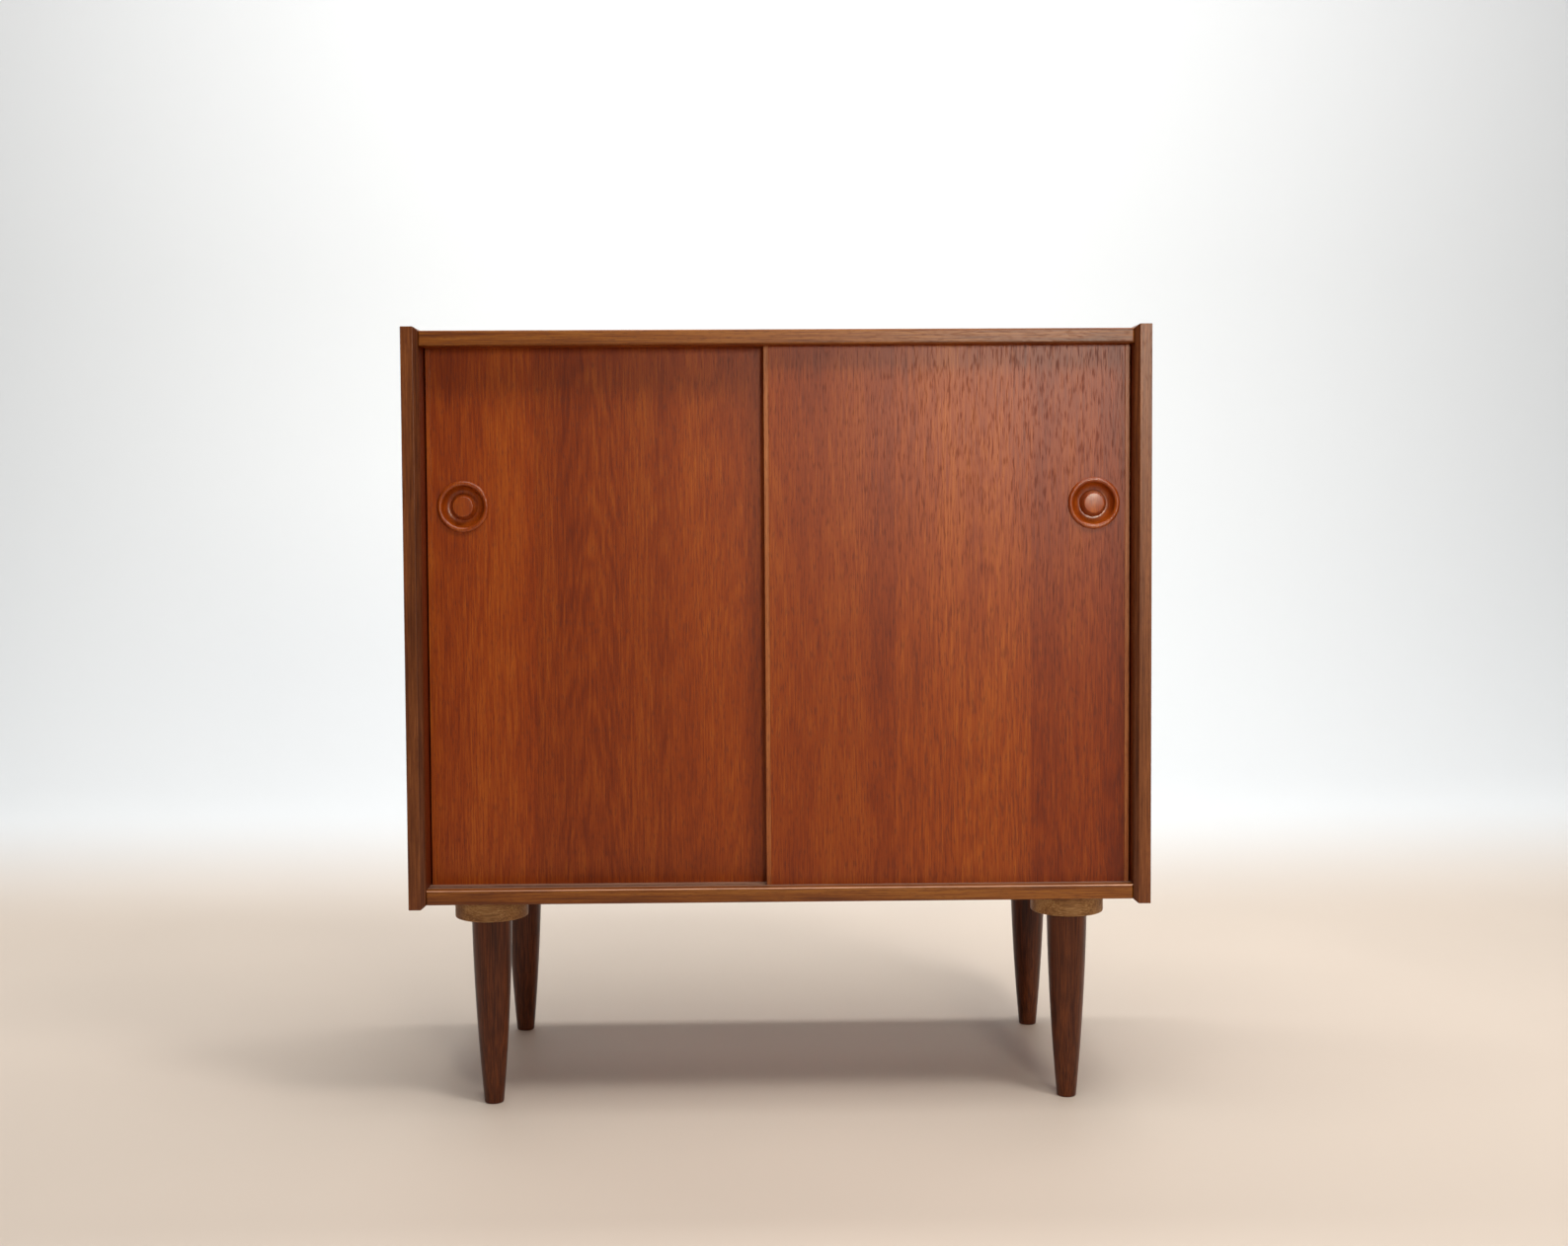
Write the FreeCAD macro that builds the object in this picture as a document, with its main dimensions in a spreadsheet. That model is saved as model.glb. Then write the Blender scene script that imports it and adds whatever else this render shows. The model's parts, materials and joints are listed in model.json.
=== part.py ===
"""Low storage cabinet with two sliding doors, on turned legs.

The frame: the origin is on the floor under the middle of the cabinet, +X is to the right of
someone facing the doors, +Y runs from the doors to the back, and +Z is up.  All sizes are in
millimetres and are driven by the spreadsheet "sizes".
"""
import FreeCAD, Part
import math
import os
import re
import Sketcher
from FreeCAD import Placement, Rotation, Vector

# ---------------------------------------------------------------- driving dimensions
SIZES = {
    # whole cabinet
    "cabinet_width": 800,
    "cabinet_depth": 424,
    "cabinet_height": 854,
    # legs, and the round collars that they screw into
    "leg_length": 210,
    "leg_top_diameter": 44.5,
    "leg_foot_diameter": 21.5,
    "leg_swell_radius": 2800,
    "leg_foot_rounding": 1.5,
    "leg_inset_side": 80,
    "leg_inset_front": 67,
    "collar_diameter": 80,
    "collar_height": 24,
    "collar_rounding": 1.5,
    "bolt_diameter": 8,
    "bolt_depth_in_leg": 32,
    "insert_diameter": 12,
    "insert_length": 18,
    "collar_screw_diameter": 4,
    "collar_screw_head_diameter": 7.5,
    "collar_screw_head_height": 3.5,
    "collar_screw_grip": 8,
    # side panels and their solid lippings
    "side_thickness": 18,
    "side_proud": 4,
    "side_front_lipping": 12,
    "side_end_lipping": 6,
    "bevel_width": 5,
    "bevel_depth": 4,
    "outer_rounding": 1,
    # top and bottom boards
    "board_thickness": 16,
    "board_setback": 5,
    "board_lipping": 10,
    "arris_rounding": 2,
    "groove_web": 5,
    "bottom_groove_depth": 5,
    "dowel_diameter": 8,
    "dowel_depth_in_side": 11,
    "dowel_depth_in_board": 20,
    "dowel_first": 70,
    "dowel_last": 35,
    # back panel
    "back_thickness": 5,
    "back_rebate_width": 9,
    "back_clearance": 0.5,
    "back_pin_diameter": 1.6,
    "back_pin_head_diameter": 4,
    "back_pin_head_height": 0.8,
    "back_pin_length": 18,
    "back_pin_edge": 6,
    # shelf
    "shelf_thickness": 16,
    "shelf_lipping": 8,
    "shelf_end_gap": 2,
    "shelf_back_gap": 3,
    "shelf_door_gap": 14,
    "shelf_pin_diameter": 5,
    "shelf_pin_clearance": 0.1,
    "shelf_pin_depth": 10,
    "shelf_pin_reach": 9,
    "shelf_pin_flange_diameter": 8,
    "shelf_pin_flange_thickness": 1.5,
    "shelf_hole_pitch": 32,
    "shelf_hole_inset": 45,
    # doors
    "door_thickness": 11,
    "door_setback": 17,
    "door_gap": 6,
    "door_overlap": 30,
    "door_side_gap": 1.5,
    "door_lipping": 5,
    "door_rounding": 1,
    "tongue_thickness": 6,
    "tongue_side_clearance": 0.6,
    "tongue_end_clearance": 0.6,
    "door_lift": 5.5,
    "shoulder_gap": 1,
    # turned pulls
    "pull_diameter": 56,
    "pull_rim_width": 5.5,
    "pull_rim_height": 4,
    "pull_rim_base": 1.5,
    "pull_rim_flattening": 0.1,
    "pull_cup_wall": 1.5,
    "pull_cup_clearance": 0.1,
    "pull_back_clearance": 0.3,
    "pull_dish_depth": 6.5,
    "pull_dish_roundness": 0.68,
    "pull_boss_base_diameter": 29.5,
    "pull_boss_top_diameter": 22.5,
    "pull_boss_drop": 1,
    "pull_boss_rounding": 1.2,
    "pull_inset": 39,
    "pull_drop": 171,
}

# Sizes that follow from the driving ones.
WORKED_OUT = {
    "inner_width": "cabinet_width - 2 * side_thickness",
    "case_base": "leg_length + collar_height - side_proud",
    "case_height": "cabinet_height - case_base",
    "bottom_board_base": "leg_length + collar_height",
    "bottom_board_top": "bottom_board_base + board_thickness",
    "top_board_base": "cabinet_height - side_proud - board_thickness",
    "opening_height": "top_board_base - bottom_board_top",
    "side_core_depth": "cabinet_depth - side_front_lipping",
    "side_core_height": "case_height - 2 * side_end_lipping",
    "board_front": "board_setback - cabinet_depth / 2",
    "board_core_front": "board_front + board_lipping",
    "board_core_depth": "cabinet_depth / 2 - back_thickness - board_core_front",
    "dowel_run": "board_core_depth - dowel_first - dowel_last",
    "top_groove_depth": "board_thickness - groove_web",
    "front_door_face": "board_front + door_setback",
    "door_pitch": "door_thickness + door_gap",
    "groove_width": "tongue_thickness + 2 * tongue_side_clearance",
    "groove_start": "door_setback - board_lipping - tongue_side_clearance",
    "door_width": "(inner_width + door_overlap) / 2 - door_side_gap",
    "tongue_down": "bottom_groove_depth - tongue_end_clearance",
    "tongue_up": "top_groove_depth - door_lift",
    "door_height": "opening_height + tongue_down + tongue_up",
    "door_base": "bottom_board_top - tongue_down",
    "shoulder_below": "tongue_down + shoulder_gap",
    "shoulder_above": "tongue_up + door_lift + shoulder_gap",
    "door_at_side": "inner_width / 2 - door_side_gap",
    "pull_at_side": "door_at_side - pull_inset",
    "pull_level": "top_board_base - pull_drop",
    "pull_recess_radius": "pull_diameter / 2 - pull_rim_width",
    "pull_cup_radius": "pull_recess_radius + pull_cup_wall",
    "pull_rim_radius": "pull_rim_width / 2 + pull_rim_flattening",
    "pull_dish_width": "pull_recess_radius - pull_boss_base_diameter / 2",
    "pull_dish_rise": "pull_dish_depth + pull_rim_base",
    "pull_dish_radius": "pull_dish_roundness * sqrt(pull_dish_width ^ 2 + pull_dish_rise ^ 2)",
    "collar_screw_circle": "(leg_top_diameter + collar_diameter) / 4",
    "collar_screw_length": "collar_height + collar_screw_grip",
    "bolt_length": "bolt_depth_in_leg + insert_length",
    "leg_x": "cabinet_width / 2 - leg_inset_side",
    "leg_y": "cabinet_depth / 2 - leg_inset_front",
    "shelf_front": "front_door_face + door_pitch + door_thickness + shelf_door_gap",
    "shelf_depth": "cabinet_depth / 2 - back_thickness - shelf_back_gap - shelf_front",
    "shelf_width": "inner_width - 2 * shelf_end_gap",
    "pin_height": "bottom_board_top + opening_height / 2",
    "shelf_base": "pin_height + shelf_pin_diameter / 2",
    "pin_front": "shelf_front + shelf_hole_inset",
    "pin_back": "shelf_front + shelf_depth - shelf_hole_inset",
    "back_height": "side_core_height - 2 * back_clearance",
    "back_width": "inner_width + 2 * back_rebate_width - 2 * back_clearance",
    "back_base": "case_base + side_end_lipping + back_clearance",
}

DOWELS_PER_END = 4
SHELF_HOLES = 5
SCREWS_PER_COLLAR = 3
BACK_PINS_ACROSS = 7
BACK_PINS_UP = 5

LEFT = -1
RIGHT = 1
TOP = 1
BOTTOM = -1
ALONG_X = Rotation(Vector(0, 1, 0), 90)
TOWARDS_FRONT = Rotation(Vector(1, 0, 0), 90)

doc = FreeCAD.newDocument("sliding_door_cabinet")
sheet = doc.addObject("Spreadsheet::Sheet", "sizes")
for row, (alias, number) in enumerate(SIZES.items(), start=1):
    sheet.set(f"A{row}", alias)
    sheet.set(f"B{row}", str(number))
    sheet.setAlias(f"B{row}", alias)
doc.recompute()

sub_parts = []


# ---------------------------------------------------------------- formulas
def formula(text):
    """Spell a formula out in the sheet's own cells."""
    def spell(match):
        word = match.group(0)
        if word in WORKED_OUT:
            return "(" + formula(WORKED_OUT[word]) + ")"
        if word in SIZES:
            return "sizes." + word
        return word
    return re.sub(r"[a-z_]+", spell, str(text))


def value(text):
    """The number that a formula comes to."""
    return float(sheet.evalExpression(formula(text)))


def bind(thing, name, text):
    """Drive one property by a formula."""
    thing.setExpression(name, formula(text))


def place(thing, x, y, z):
    """Put a piece where three formulas say."""
    bind(thing, "Placement.Base.x", x)
    bind(thing, "Placement.Base.y", y)
    bind(thing, "Placement.Base.z", z)


def signed(sign, text):
    """A formula on the side that sign names."""
    return f"{sign} * ({text})"


def spread(first, run, index, count):
    """The index-th of count places, evenly spaced along a run."""
    return f"{first} + ({run}) * {index} / {count - 1}"


# ---------------------------------------------------------------- bodies and sketches
def new_body(label, x, y, z):
    """A body of its own for one sub-part, at its place."""
    body = doc.addObject("PartDesign::Body", label)
    body.Label = label
    place(body, x, y, z)
    sub_parts.append(body)
    return body


def new_sketch(body, name, role, offset="0"):
    """A sketch on one of the body's own origin planes, moved along its normal."""
    sketch = body.newObject("Sketcher::SketchObject", f"{body.Name}_{name}")
    plane = next(item for item in body.Origin.OriginFeatures if item.Role == role)
    sketch.AttachmentSupport = [(plane, "")]
    sketch.MapMode = "FlatFace"
    if offset != "0":
        bind(sketch, "AttachmentOffset.Base.z", offset)
    return sketch


def dimension(sketch, kind, *target, text):
    """One dimension of a sketch, driven by a formula."""
    index = sketch.addConstraint(Sketcher.Constraint(kind, *target, value(text)))
    name = f"size_{index}"
    sketch.renameConstraint(index, name)
    if text != "0":
        bind(sketch, f"Constraints.{name}", text)


def arc_between(start, end, radius, side):
    """The shorter arc from start to end; side 1 swells to the right of that direction."""
    half = (end - start) * 0.5
    rise = radius - math.sqrt(radius ** 2 - half.Length ** 2)
    right = Vector(half.y, -half.x, 0).normalize()
    return Part.Arc(start, start + half + right * rise * side, end)


def outline(sketch, corners, arcs=None):
    """A closed outline of corners (x, y); arcs gives {corner: (radius, side)} to the next one."""
    arcs = arcs or {}
    points = [Vector(value(x), value(y), 0) for x, y in corners]
    ends = []
    for number, start in enumerate(points):
        end = points[(number + 1) % len(points)]
        if number in arcs:
            radius, side = arcs[number]
            edge = arc_between(start, end, value(radius), side)
        else:
            edge = Part.LineSegment(start, end)
        index = sketch.addGeometry(edge, False)
        begins_here = sketch.getPoint(index, 1).distanceToPoint(start) < 1e-6
        ends.append((index, 1, 2) if begins_here else (index, 2, 1))
        if number in arcs:
            dimension(sketch, "Radius", index, text=radius)
    for number, (index, first, last) in enumerate(ends):
        following, following_first, _ = ends[(number + 1) % len(ends)]
        sketch.addConstraint(
            Sketcher.Constraint("Coincident", index, last, following, following_first))
        x, y = corners[number]
        dimension(sketch, "DistanceX", -1, 1, index, first, text=x)
        dimension(sketch, "DistanceY", -1, 1, index, first, text=y)


def rectangle(sketch, left, low, right, high):
    """A rectangle between two corners."""
    outline(sketch, [(left, low), (right, low), (right, high), (left, high)])


def circle(sketch, x, y, diameter):
    """One circle."""
    shape = Part.Circle(Vector(value(x), value(y), 0), Vector(0, 0, 1), value(diameter) / 2)
    index = sketch.addGeometry(shape, False)
    dimension(sketch, "DistanceX", -1, 1, index, 3, text=x)
    dimension(sketch, "DistanceY", -1, 1, index, 3, text=y)
    dimension(sketch, "Diameter", index, text=diameter)


def pad(body, sketch, length, backwards=False):
    """Raise the sketch by a length, along its normal or against it."""
    feature = body.newObject("PartDesign::Pad", f"{sketch.Name}_pad")
    feature.Profile = sketch
    feature.Reversed = backwards
    bind(feature, "Length", length)
    sketch.Visibility = False
    doc.recompute()
    return feature


def pocket(body, sketch, depth, along_normal=False):
    """Sink the sketch by a depth, against its normal or along it, and see that it cuts."""
    before = body.Shape.Volume
    feature = body.newObject("PartDesign::Pocket", f"{sketch.Name}_pocket")
    feature.Profile = sketch
    feature.Reversed = along_normal
    bind(feature, "Length", depth)
    doc.recompute()
    check_cut(body, feature, before)
    return feature


def check_cut(body, feature, before):
    """A cut that removes nothing points the wrong way."""
    if body.Shape.Volume > before - 1:
        raise RuntimeError(f"{feature.Name} cuts nothing from {body.Label}")


def turn(body, sketch):
    """Revolve the sketch once round its own vertical axis."""
    feature = body.newObject("PartDesign::Revolution", f"{sketch.Name}_turned")
    feature.Profile = sketch
    feature.ReferenceAxis = (sketch, ["V_Axis"])
    feature.Angle = 360
    doc.recompute()
    return feature


# ---------------------------------------------------------------- groups of like pieces
def rod(name, x, y, z, diameter, length, rotation=Rotation()):
    """A round rod from one place, along +Z unless it is turned."""
    cylinder = doc.addObject("Part::Cylinder", name)
    cylinder.Placement = Placement(Vector(), rotation)
    place(cylinder, x, y, z)
    bind(cylinder, "Radius", f"({diameter}) / 2")
    bind(cylinder, "Height", length)
    return cylinder


def group(label, pieces):
    """One sub-part made of separate like pieces."""
    compound = doc.addObject("Part::Compound", label)
    compound.Label = label
    compound.Links = pieces
    sub_parts.append(compound)
    return compound


def fused(name, pieces):
    """Primitives joined into one piece."""
    fusion = doc.addObject("Part::MultiFuse", name)
    fusion.Shapes = pieces
    return fusion


def box(label, x, y, z, length, width, height):
    """A plain board."""
    block = doc.addObject("Part::Box", label)
    block.Label = label
    place(block, x, y, z)
    bind(block, "Length", length)
    bind(block, "Width", width)
    bind(block, "Height", height)
    sub_parts.append(block)
    return block


def hand_name(hand):
    """The word for a side."""
    return "left" if hand == LEFT else "right"


# ---------------------------------------------------------------- side panels
def side_panel(hand):
    """Veneered core, x = 0 on its inner face: dowel holes, shelf holes and a rebate behind."""
    body = new_body(f"{hand_name(hand)}_side_panel",
                    signed(hand, "inner_width / 2"),
                    "side_front_lipping - cabinet_depth / 2",
                    "case_base + side_end_lipping")
    outward = hand == RIGHT
    core = new_sketch(body, "core", "YZ_Plane")
    rectangle(core, "0", "0", "side_core_depth", "side_core_height")
    pad(body, core, "side_thickness", backwards=not outward)

    rebate = new_sketch(body, "rebate", "YZ_Plane")
    rectangle(rebate, "side_core_depth - back_thickness", "0", "side_core_depth", "side_core_height")
    pocket(body, rebate, "back_rebate_width", along_normal=outward)

    dowel_holes = new_sketch(body, "dowel_holes", "YZ_Plane")
    first = "board_core_front + dowel_first - side_front_lipping + cabinet_depth / 2"
    for board_base in ("bottom_board_base", "top_board_base"):
        height = f"{board_base} + board_thickness / 2 - case_base - side_end_lipping"
        for index in range(DOWELS_PER_END):
            depth = spread(first, "dowel_run", index, DOWELS_PER_END)
            circle(dowel_holes, depth, height, "dowel_diameter")
    pocket(body, dowel_holes, "dowel_depth_in_side", along_normal=outward)

    shelf_holes = new_sketch(body, "shelf_holes", "YZ_Plane")
    for place_behind in ("pin_front", "pin_back"):
        depth = f"{place_behind} - side_front_lipping + cabinet_depth / 2"
        for index in range(SHELF_HOLES):
            step = index - SHELF_HOLES // 2
            height = f"pin_height + {step} * shelf_hole_pitch - case_base - side_end_lipping"
            circle(shelf_holes, depth, height, "shelf_pin_diameter + shelf_pin_clearance")
    pocket(body, shelf_holes, "shelf_pin_depth + shelf_pin_clearance", along_normal=outward)


def side_front_lipping(hand):
    """Solid front edge, full height, bevelled along its inner arris and at both ends."""
    body = new_body(f"{hand_name(hand)}_side_front_lipping",
                    signed(hand, "inner_width / 2"), "-cabinet_depth / 2", "case_base")
    section = new_sketch(body, "section", "XY_Plane")
    outline(section, [
        (signed(hand, "bevel_width"), "0"),
        (signed(hand, "side_thickness - outer_rounding"), "0"),
        (signed(hand, "side_thickness"), "outer_rounding"),
        (signed(hand, "side_thickness"), "side_front_lipping"),
        ("0", "side_front_lipping"),
        ("0", "bevel_depth"),
    ], arcs={1: ("outer_rounding", hand)})
    pad(body, section, "case_height")

    ends = new_sketch(body, "end_bevels", "XZ_Plane")
    outline(ends, [("0", "0"), (signed(hand, "bevel_width"), "0"), ("0", "bevel_depth")])
    outline(ends, [("0", "case_height"), ("0", "case_height - bevel_depth"),
                   (signed(hand, "bevel_width"), "case_height")])
    pocket(body, ends, "side_front_lipping")


def side_end_lipping(hand, end):
    """Solid strip on the upper or lower edge of a side, z = 0 on its outer face."""
    word = "top" if end == TOP else "bottom"
    height = "cabinet_height" if end == TOP else "case_base"
    body = new_body(f"{hand_name(hand)}_side_{word}_lipping",
                    signed(hand, "inner_width / 2"),
                    "side_front_lipping - cabinet_depth / 2",
                    height)
    section = new_sketch(body, "section", "XZ_Plane")
    outline(section, [
        (signed(hand, "bevel_width"), "0"),
        (signed(hand, "side_thickness - outer_rounding"), "0"),
        (signed(hand, "side_thickness"), signed(-end, "outer_rounding")),
        (signed(hand, "side_thickness"), signed(-end, "side_end_lipping")),
        ("0", signed(-end, "side_end_lipping")),
        ("0", signed(-end, "bevel_depth")),
    ], arcs={1: ("outer_rounding", -hand * end)})
    pad(body, section, "side_core_depth", backwards=True)


# ---------------------------------------------------------------- top and bottom boards
def board(end):
    """Veneered core between the sides, grooved for the doors and bored for dowels."""
    word = "top" if end == TOP else "bottom"
    base = "top_board_base" if end == TOP else "bottom_board_base"
    body = new_body(f"{word}_board", "-inner_width / 2", "board_core_front", base)
    core = new_sketch(body, "core", "XY_Plane")
    rectangle(core, "0", "0", "inner_width", "board_core_depth")
    pad(body, core, "board_thickness")

    inner_face = "0" if end == TOP else "board_thickness"
    depth = "top_groove_depth" if end == TOP else "bottom_groove_depth"
    grooves = new_sketch(body, "grooves", "XY_Plane", inner_face)
    for door in range(2):
        start = f"groove_start + {door} * door_pitch"
        rectangle(grooves, "0", start, "inner_width", f"{start} + groove_width")
    pocket(body, grooves, depth, along_normal=end == TOP)

    for name, at, along_normal in (("left_holes", "0", True), ("right_holes", "inner_width", False)):
        holes = new_sketch(body, name, "YZ_Plane", at)
        for index in range(DOWELS_PER_END):
            behind = spread("dowel_first", "dowel_run", index, DOWELS_PER_END)
            circle(holes, behind, "board_thickness / 2", "dowel_diameter")
        pocket(body, holes, "dowel_depth_in_board", along_normal=along_normal)
    return body


def pilot_holes(body):
    """Holes in the underside of the bottom board for the screws of the four collars."""
    holes = new_sketch(body, "pilot_holes", "XY_Plane")
    for across, behind in LEG_PLACES:
        for x, y in screw_places(across, behind):
            circle(holes, f"{x} + inner_width / 2", f"{y} - board_core_front", "collar_screw_diameter")
    pocket(body, holes, "collar_screw_grip", along_normal=True)


def edge_lipping(label, x, y, z, length, depth, thickness):
    """Solid front edge of a board or shelf, both front arrises rounded."""
    body = new_body(label, x, y, z)
    section = new_sketch(body, "section", "YZ_Plane")
    outline(section, [
        ("arris_rounding", "0"),
        (depth, "0"),
        (depth, thickness),
        ("arris_rounding", thickness),
        ("0", f"{thickness} - arris_rounding"),
        ("0", "arris_rounding"),
    ], arcs={3: ("arris_rounding", 1), 5: ("arris_rounding", 1)})
    pad(body, section, length)


def dowels(end):
    """Dowels through both end joints of one board."""
    word = "top" if end == TOP else "bottom"
    base = "top_board_base" if end == TOP else "bottom_board_base"
    starts = {
        LEFT: "-inner_width / 2 - dowel_depth_in_side",
        RIGHT: "inner_width / 2 - dowel_depth_in_board",
    }
    pieces = []
    for hand, start in starts.items():
        for index in range(DOWELS_PER_END):
            behind = spread("board_core_front + dowel_first", "dowel_run", index, DOWELS_PER_END)
            pieces.append(rod(f"{word}_{hand_name(hand)}_dowel_{index}",
                              start, behind, f"{base} + board_thickness / 2",
                              "dowel_diameter", "dowel_depth_in_side + dowel_depth_in_board",
                              ALONG_X))
    group(f"{word}_dowels", pieces)


# ---------------------------------------------------------------- back and shelf
def back_pins():
    """Flat-headed pins round the back panel, flush with it."""
    row_heights = {
        "low": "back_base + back_pin_edge",
        "high": "back_base + back_height - back_pin_edge",
    }
    column_places = {
        LEFT: "-inner_width / 2 - back_rebate_width / 2",
        RIGHT: "inner_width / 2 + back_rebate_width / 2",
    }
    places = []
    for word, height in row_heights.items():
        for index in range(BACK_PINS_ACROSS):
            gaps = BACK_PINS_ACROSS + 1
            places.append((f"{word}_{index}", f"inner_width * ({index + 1} / {gaps} - 0.5)", height))
    for hand, across in column_places.items():
        for index in range(BACK_PINS_UP):
            gaps = BACK_PINS_UP + 1
            places.append((f"{hand_name(hand)}_{index}", across,
                           f"back_base + back_height * {index + 1} / {gaps}"))
    pieces = []
    for name, x, z in places:
        head = rod(f"pin_head_{name}", x, "cabinet_depth / 2", z,
                   "back_pin_head_diameter", "back_pin_head_height", TOWARDS_FRONT)
        shank = rod(f"pin_shank_{name}", x, "cabinet_depth / 2", z,
                    "back_pin_diameter", "back_pin_length", TOWARDS_FRONT)
        pieces.append(fused(f"pin_{name}", [head, shank]))
    group("back_panel_pins", pieces)


def shelf_pins():
    """Four flanged pins under the shelf, in the middle holes of the four rows."""
    flange_start = "inner_width / 2 - shelf_pin_flange_thickness"
    pieces = []
    for hand in (LEFT, RIGHT):
        for word, behind in (("front", "pin_front"), ("back", "pin_back")):
            name = f"{hand_name(hand)}_{word}"
            if hand == LEFT:
                start = "-inner_width / 2 - shelf_pin_depth"
                flange = "-inner_width / 2"
            else:
                start = "inner_width / 2 - shelf_pin_reach"
                flange = flange_start
            shank = rod(f"shelf_pin_shank_{name}", start, behind, "pin_height",
                        "shelf_pin_diameter", "shelf_pin_depth + shelf_pin_reach", ALONG_X)
            collar = rod(f"shelf_pin_flange_{name}", flange, behind, "pin_height",
                         "shelf_pin_flange_diameter", "shelf_pin_flange_thickness", ALONG_X)
            pieces.append(fused(f"shelf_pin_{name}", [shank, collar]))
    group("shelf_pins", pieces)


# ---------------------------------------------------------------- legs
LEG_PLACES = [(signed(hand, "leg_x"), signed(side, "leg_y")) for side in (-1, 1) for hand in (-1, 1)]
LEG_NAMES = ["front_left", "front_right", "back_left", "back_right"]


def screw_places(x, y):
    """Centres of the screws round one leg."""
    places = []
    for index in range(SCREWS_PER_COLLAR):
        angle = math.radians(90 + 360 * index / SCREWS_PER_COLLAR)
        places.append((f"{x} + {math.cos(angle):.6f} * collar_screw_circle",
                       f"{y} + {math.sin(angle):.6f} * collar_screw_circle"))
    return places


def leg(name, x, y):
    """Turned leg: a slightly swollen taper, bored on top for its bolt."""
    body = new_body(f"leg_{name}", x, y, "0")
    profile = new_sketch(body, "profile", "XZ_Plane")
    outline(profile, [
        ("0", "0"),
        ("leg_foot_diameter / 2 - leg_foot_rounding", "0"),
        ("leg_foot_diameter / 2", "leg_foot_rounding"),
        ("leg_top_diameter / 2", "leg_length"),
        ("bolt_diameter / 2", "leg_length"),
        ("bolt_diameter / 2", "leg_length - bolt_depth_in_leg"),
        ("0", "leg_length - bolt_depth_in_leg"),
    ], arcs={1: ("leg_foot_rounding", 1), 2: ("leg_swell_radius", 1)})
    turn(body, profile)


def collar(name, x, y):
    """Turned collar between leg and board: a blind bore for the insert, three screw holes."""
    body = new_body(f"collar_{name}", x, y, "leg_length")
    profile = new_sketch(body, "profile", "XZ_Plane")
    outline(profile, [
        ("insert_diameter / 2", "0"),
        ("collar_diameter / 2 - collar_rounding", "0"),
        ("collar_diameter / 2", "collar_rounding"),
        ("collar_diameter / 2", "collar_height"),
        ("0", "collar_height"),
        ("0", "insert_length"),
        ("insert_diameter / 2", "insert_length"),
    ], arcs={1: ("collar_rounding", 1)})
    turn(body, profile)

    screw_holes = new_sketch(body, "screw_holes", "XY_Plane")
    for across, behind in screw_places("0", "0"):
        circle(screw_holes, across, behind, "collar_screw_diameter")
    pocket(body, screw_holes, "collar_height", along_normal=True)

    countersinks = new_sketch(body, "countersinks", "XY_Plane")
    for across, behind in screw_places("0", "0"):
        circle(countersinks, across, behind, "collar_screw_head_diameter")
    sink = pocket(body, countersinks, "collar_screw_head_height", along_normal=True)
    slope = "atan((collar_screw_head_diameter - collar_screw_diameter) / 2 / collar_screw_head_height)"
    bind(sink, "TaperAngle", "-1 * " + slope)
    doc.recompute()


def collar_screws():
    """Countersunk screws up through the collars into the bottom board."""
    pieces = []
    for name, (across, behind) in zip(LEG_NAMES, LEG_PLACES):
        for index, (x, y) in enumerate(screw_places(across, behind)):
            head = doc.addObject("Part::Cone", f"screw_head_{name}_{index}")
            place(head, x, y, "leg_length")
            bind(head, "Radius1", "collar_screw_head_diameter / 2")
            bind(head, "Radius2", "collar_screw_diameter / 2")
            bind(head, "Height", "collar_screw_head_height")
            shank = rod(f"screw_shank_{name}_{index}", x, y, "leg_length + collar_screw_head_height",
                        "collar_screw_diameter", "collar_screw_length - collar_screw_head_height")
            pieces.append(fused(f"collar_screw_{name}_{index}", [head, shank]))
    group("collar_screws", pieces)


def leg_fastenings():
    """For each leg a bolt, and the threaded insert in the collar that takes it."""
    bolts = []
    inserts = []
    for name, (x, y) in zip(LEG_NAMES, LEG_PLACES):
        bolts.append(rod(f"bolt_{name}", x, y, "leg_length - bolt_depth_in_leg",
                         "bolt_diameter", "bolt_length"))
        barrel = rod(f"insert_barrel_{name}", x, y, "leg_length", "insert_diameter", "insert_length")
        bore = rod(f"insert_bore_{name}", x, y, "leg_length", "bolt_diameter", "insert_length")
        insert = doc.addObject("Part::Cut", f"insert_{name}")
        insert.Base = barrel
        insert.Tool = bore
        inserts.append(insert)
    group("leg_bolts", bolts)
    group("leg_inserts", inserts)


# ---------------------------------------------------------------- sliding doors
def door_strip(label, x, y, width, rounded=0):
    """Full-height piece of a door, rebated behind so that its face runs into the grooves.

    rounded names the side whose front arris is eased: -1, 1, or 0 for neither.
    """
    body = new_body(label, x, y, "door_base")
    section = new_sketch(body, "section", "XY_Plane")
    if rounded == RIGHT:
        outline(section, [
            ("0", "0"),
            (f"{width} - door_rounding", "0"),
            (width, "door_rounding"),
            (width, "door_thickness"),
            ("0", "door_thickness"),
        ], arcs={1: ("door_rounding", 1)})
    elif rounded == LEFT:
        outline(section, [
            ("door_rounding", "0"),
            (width, "0"),
            (width, "door_thickness"),
            ("0", "door_thickness"),
            ("0", "door_rounding"),
        ], arcs={4: ("door_rounding", 1)})
    else:
        rectangle(section, "0", "0", width, "door_thickness")
    pad(body, section, "door_height")

    rebates = new_sketch(body, "rebates", "YZ_Plane")
    rectangle(rebates, "tongue_thickness", "0", "door_thickness", "shoulder_below")
    rectangle(rebates, "tongue_thickness", "door_height - shoulder_above",
              "door_thickness", "door_height")
    pocket(body, rebates, width, along_normal=True)
    return body


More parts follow.
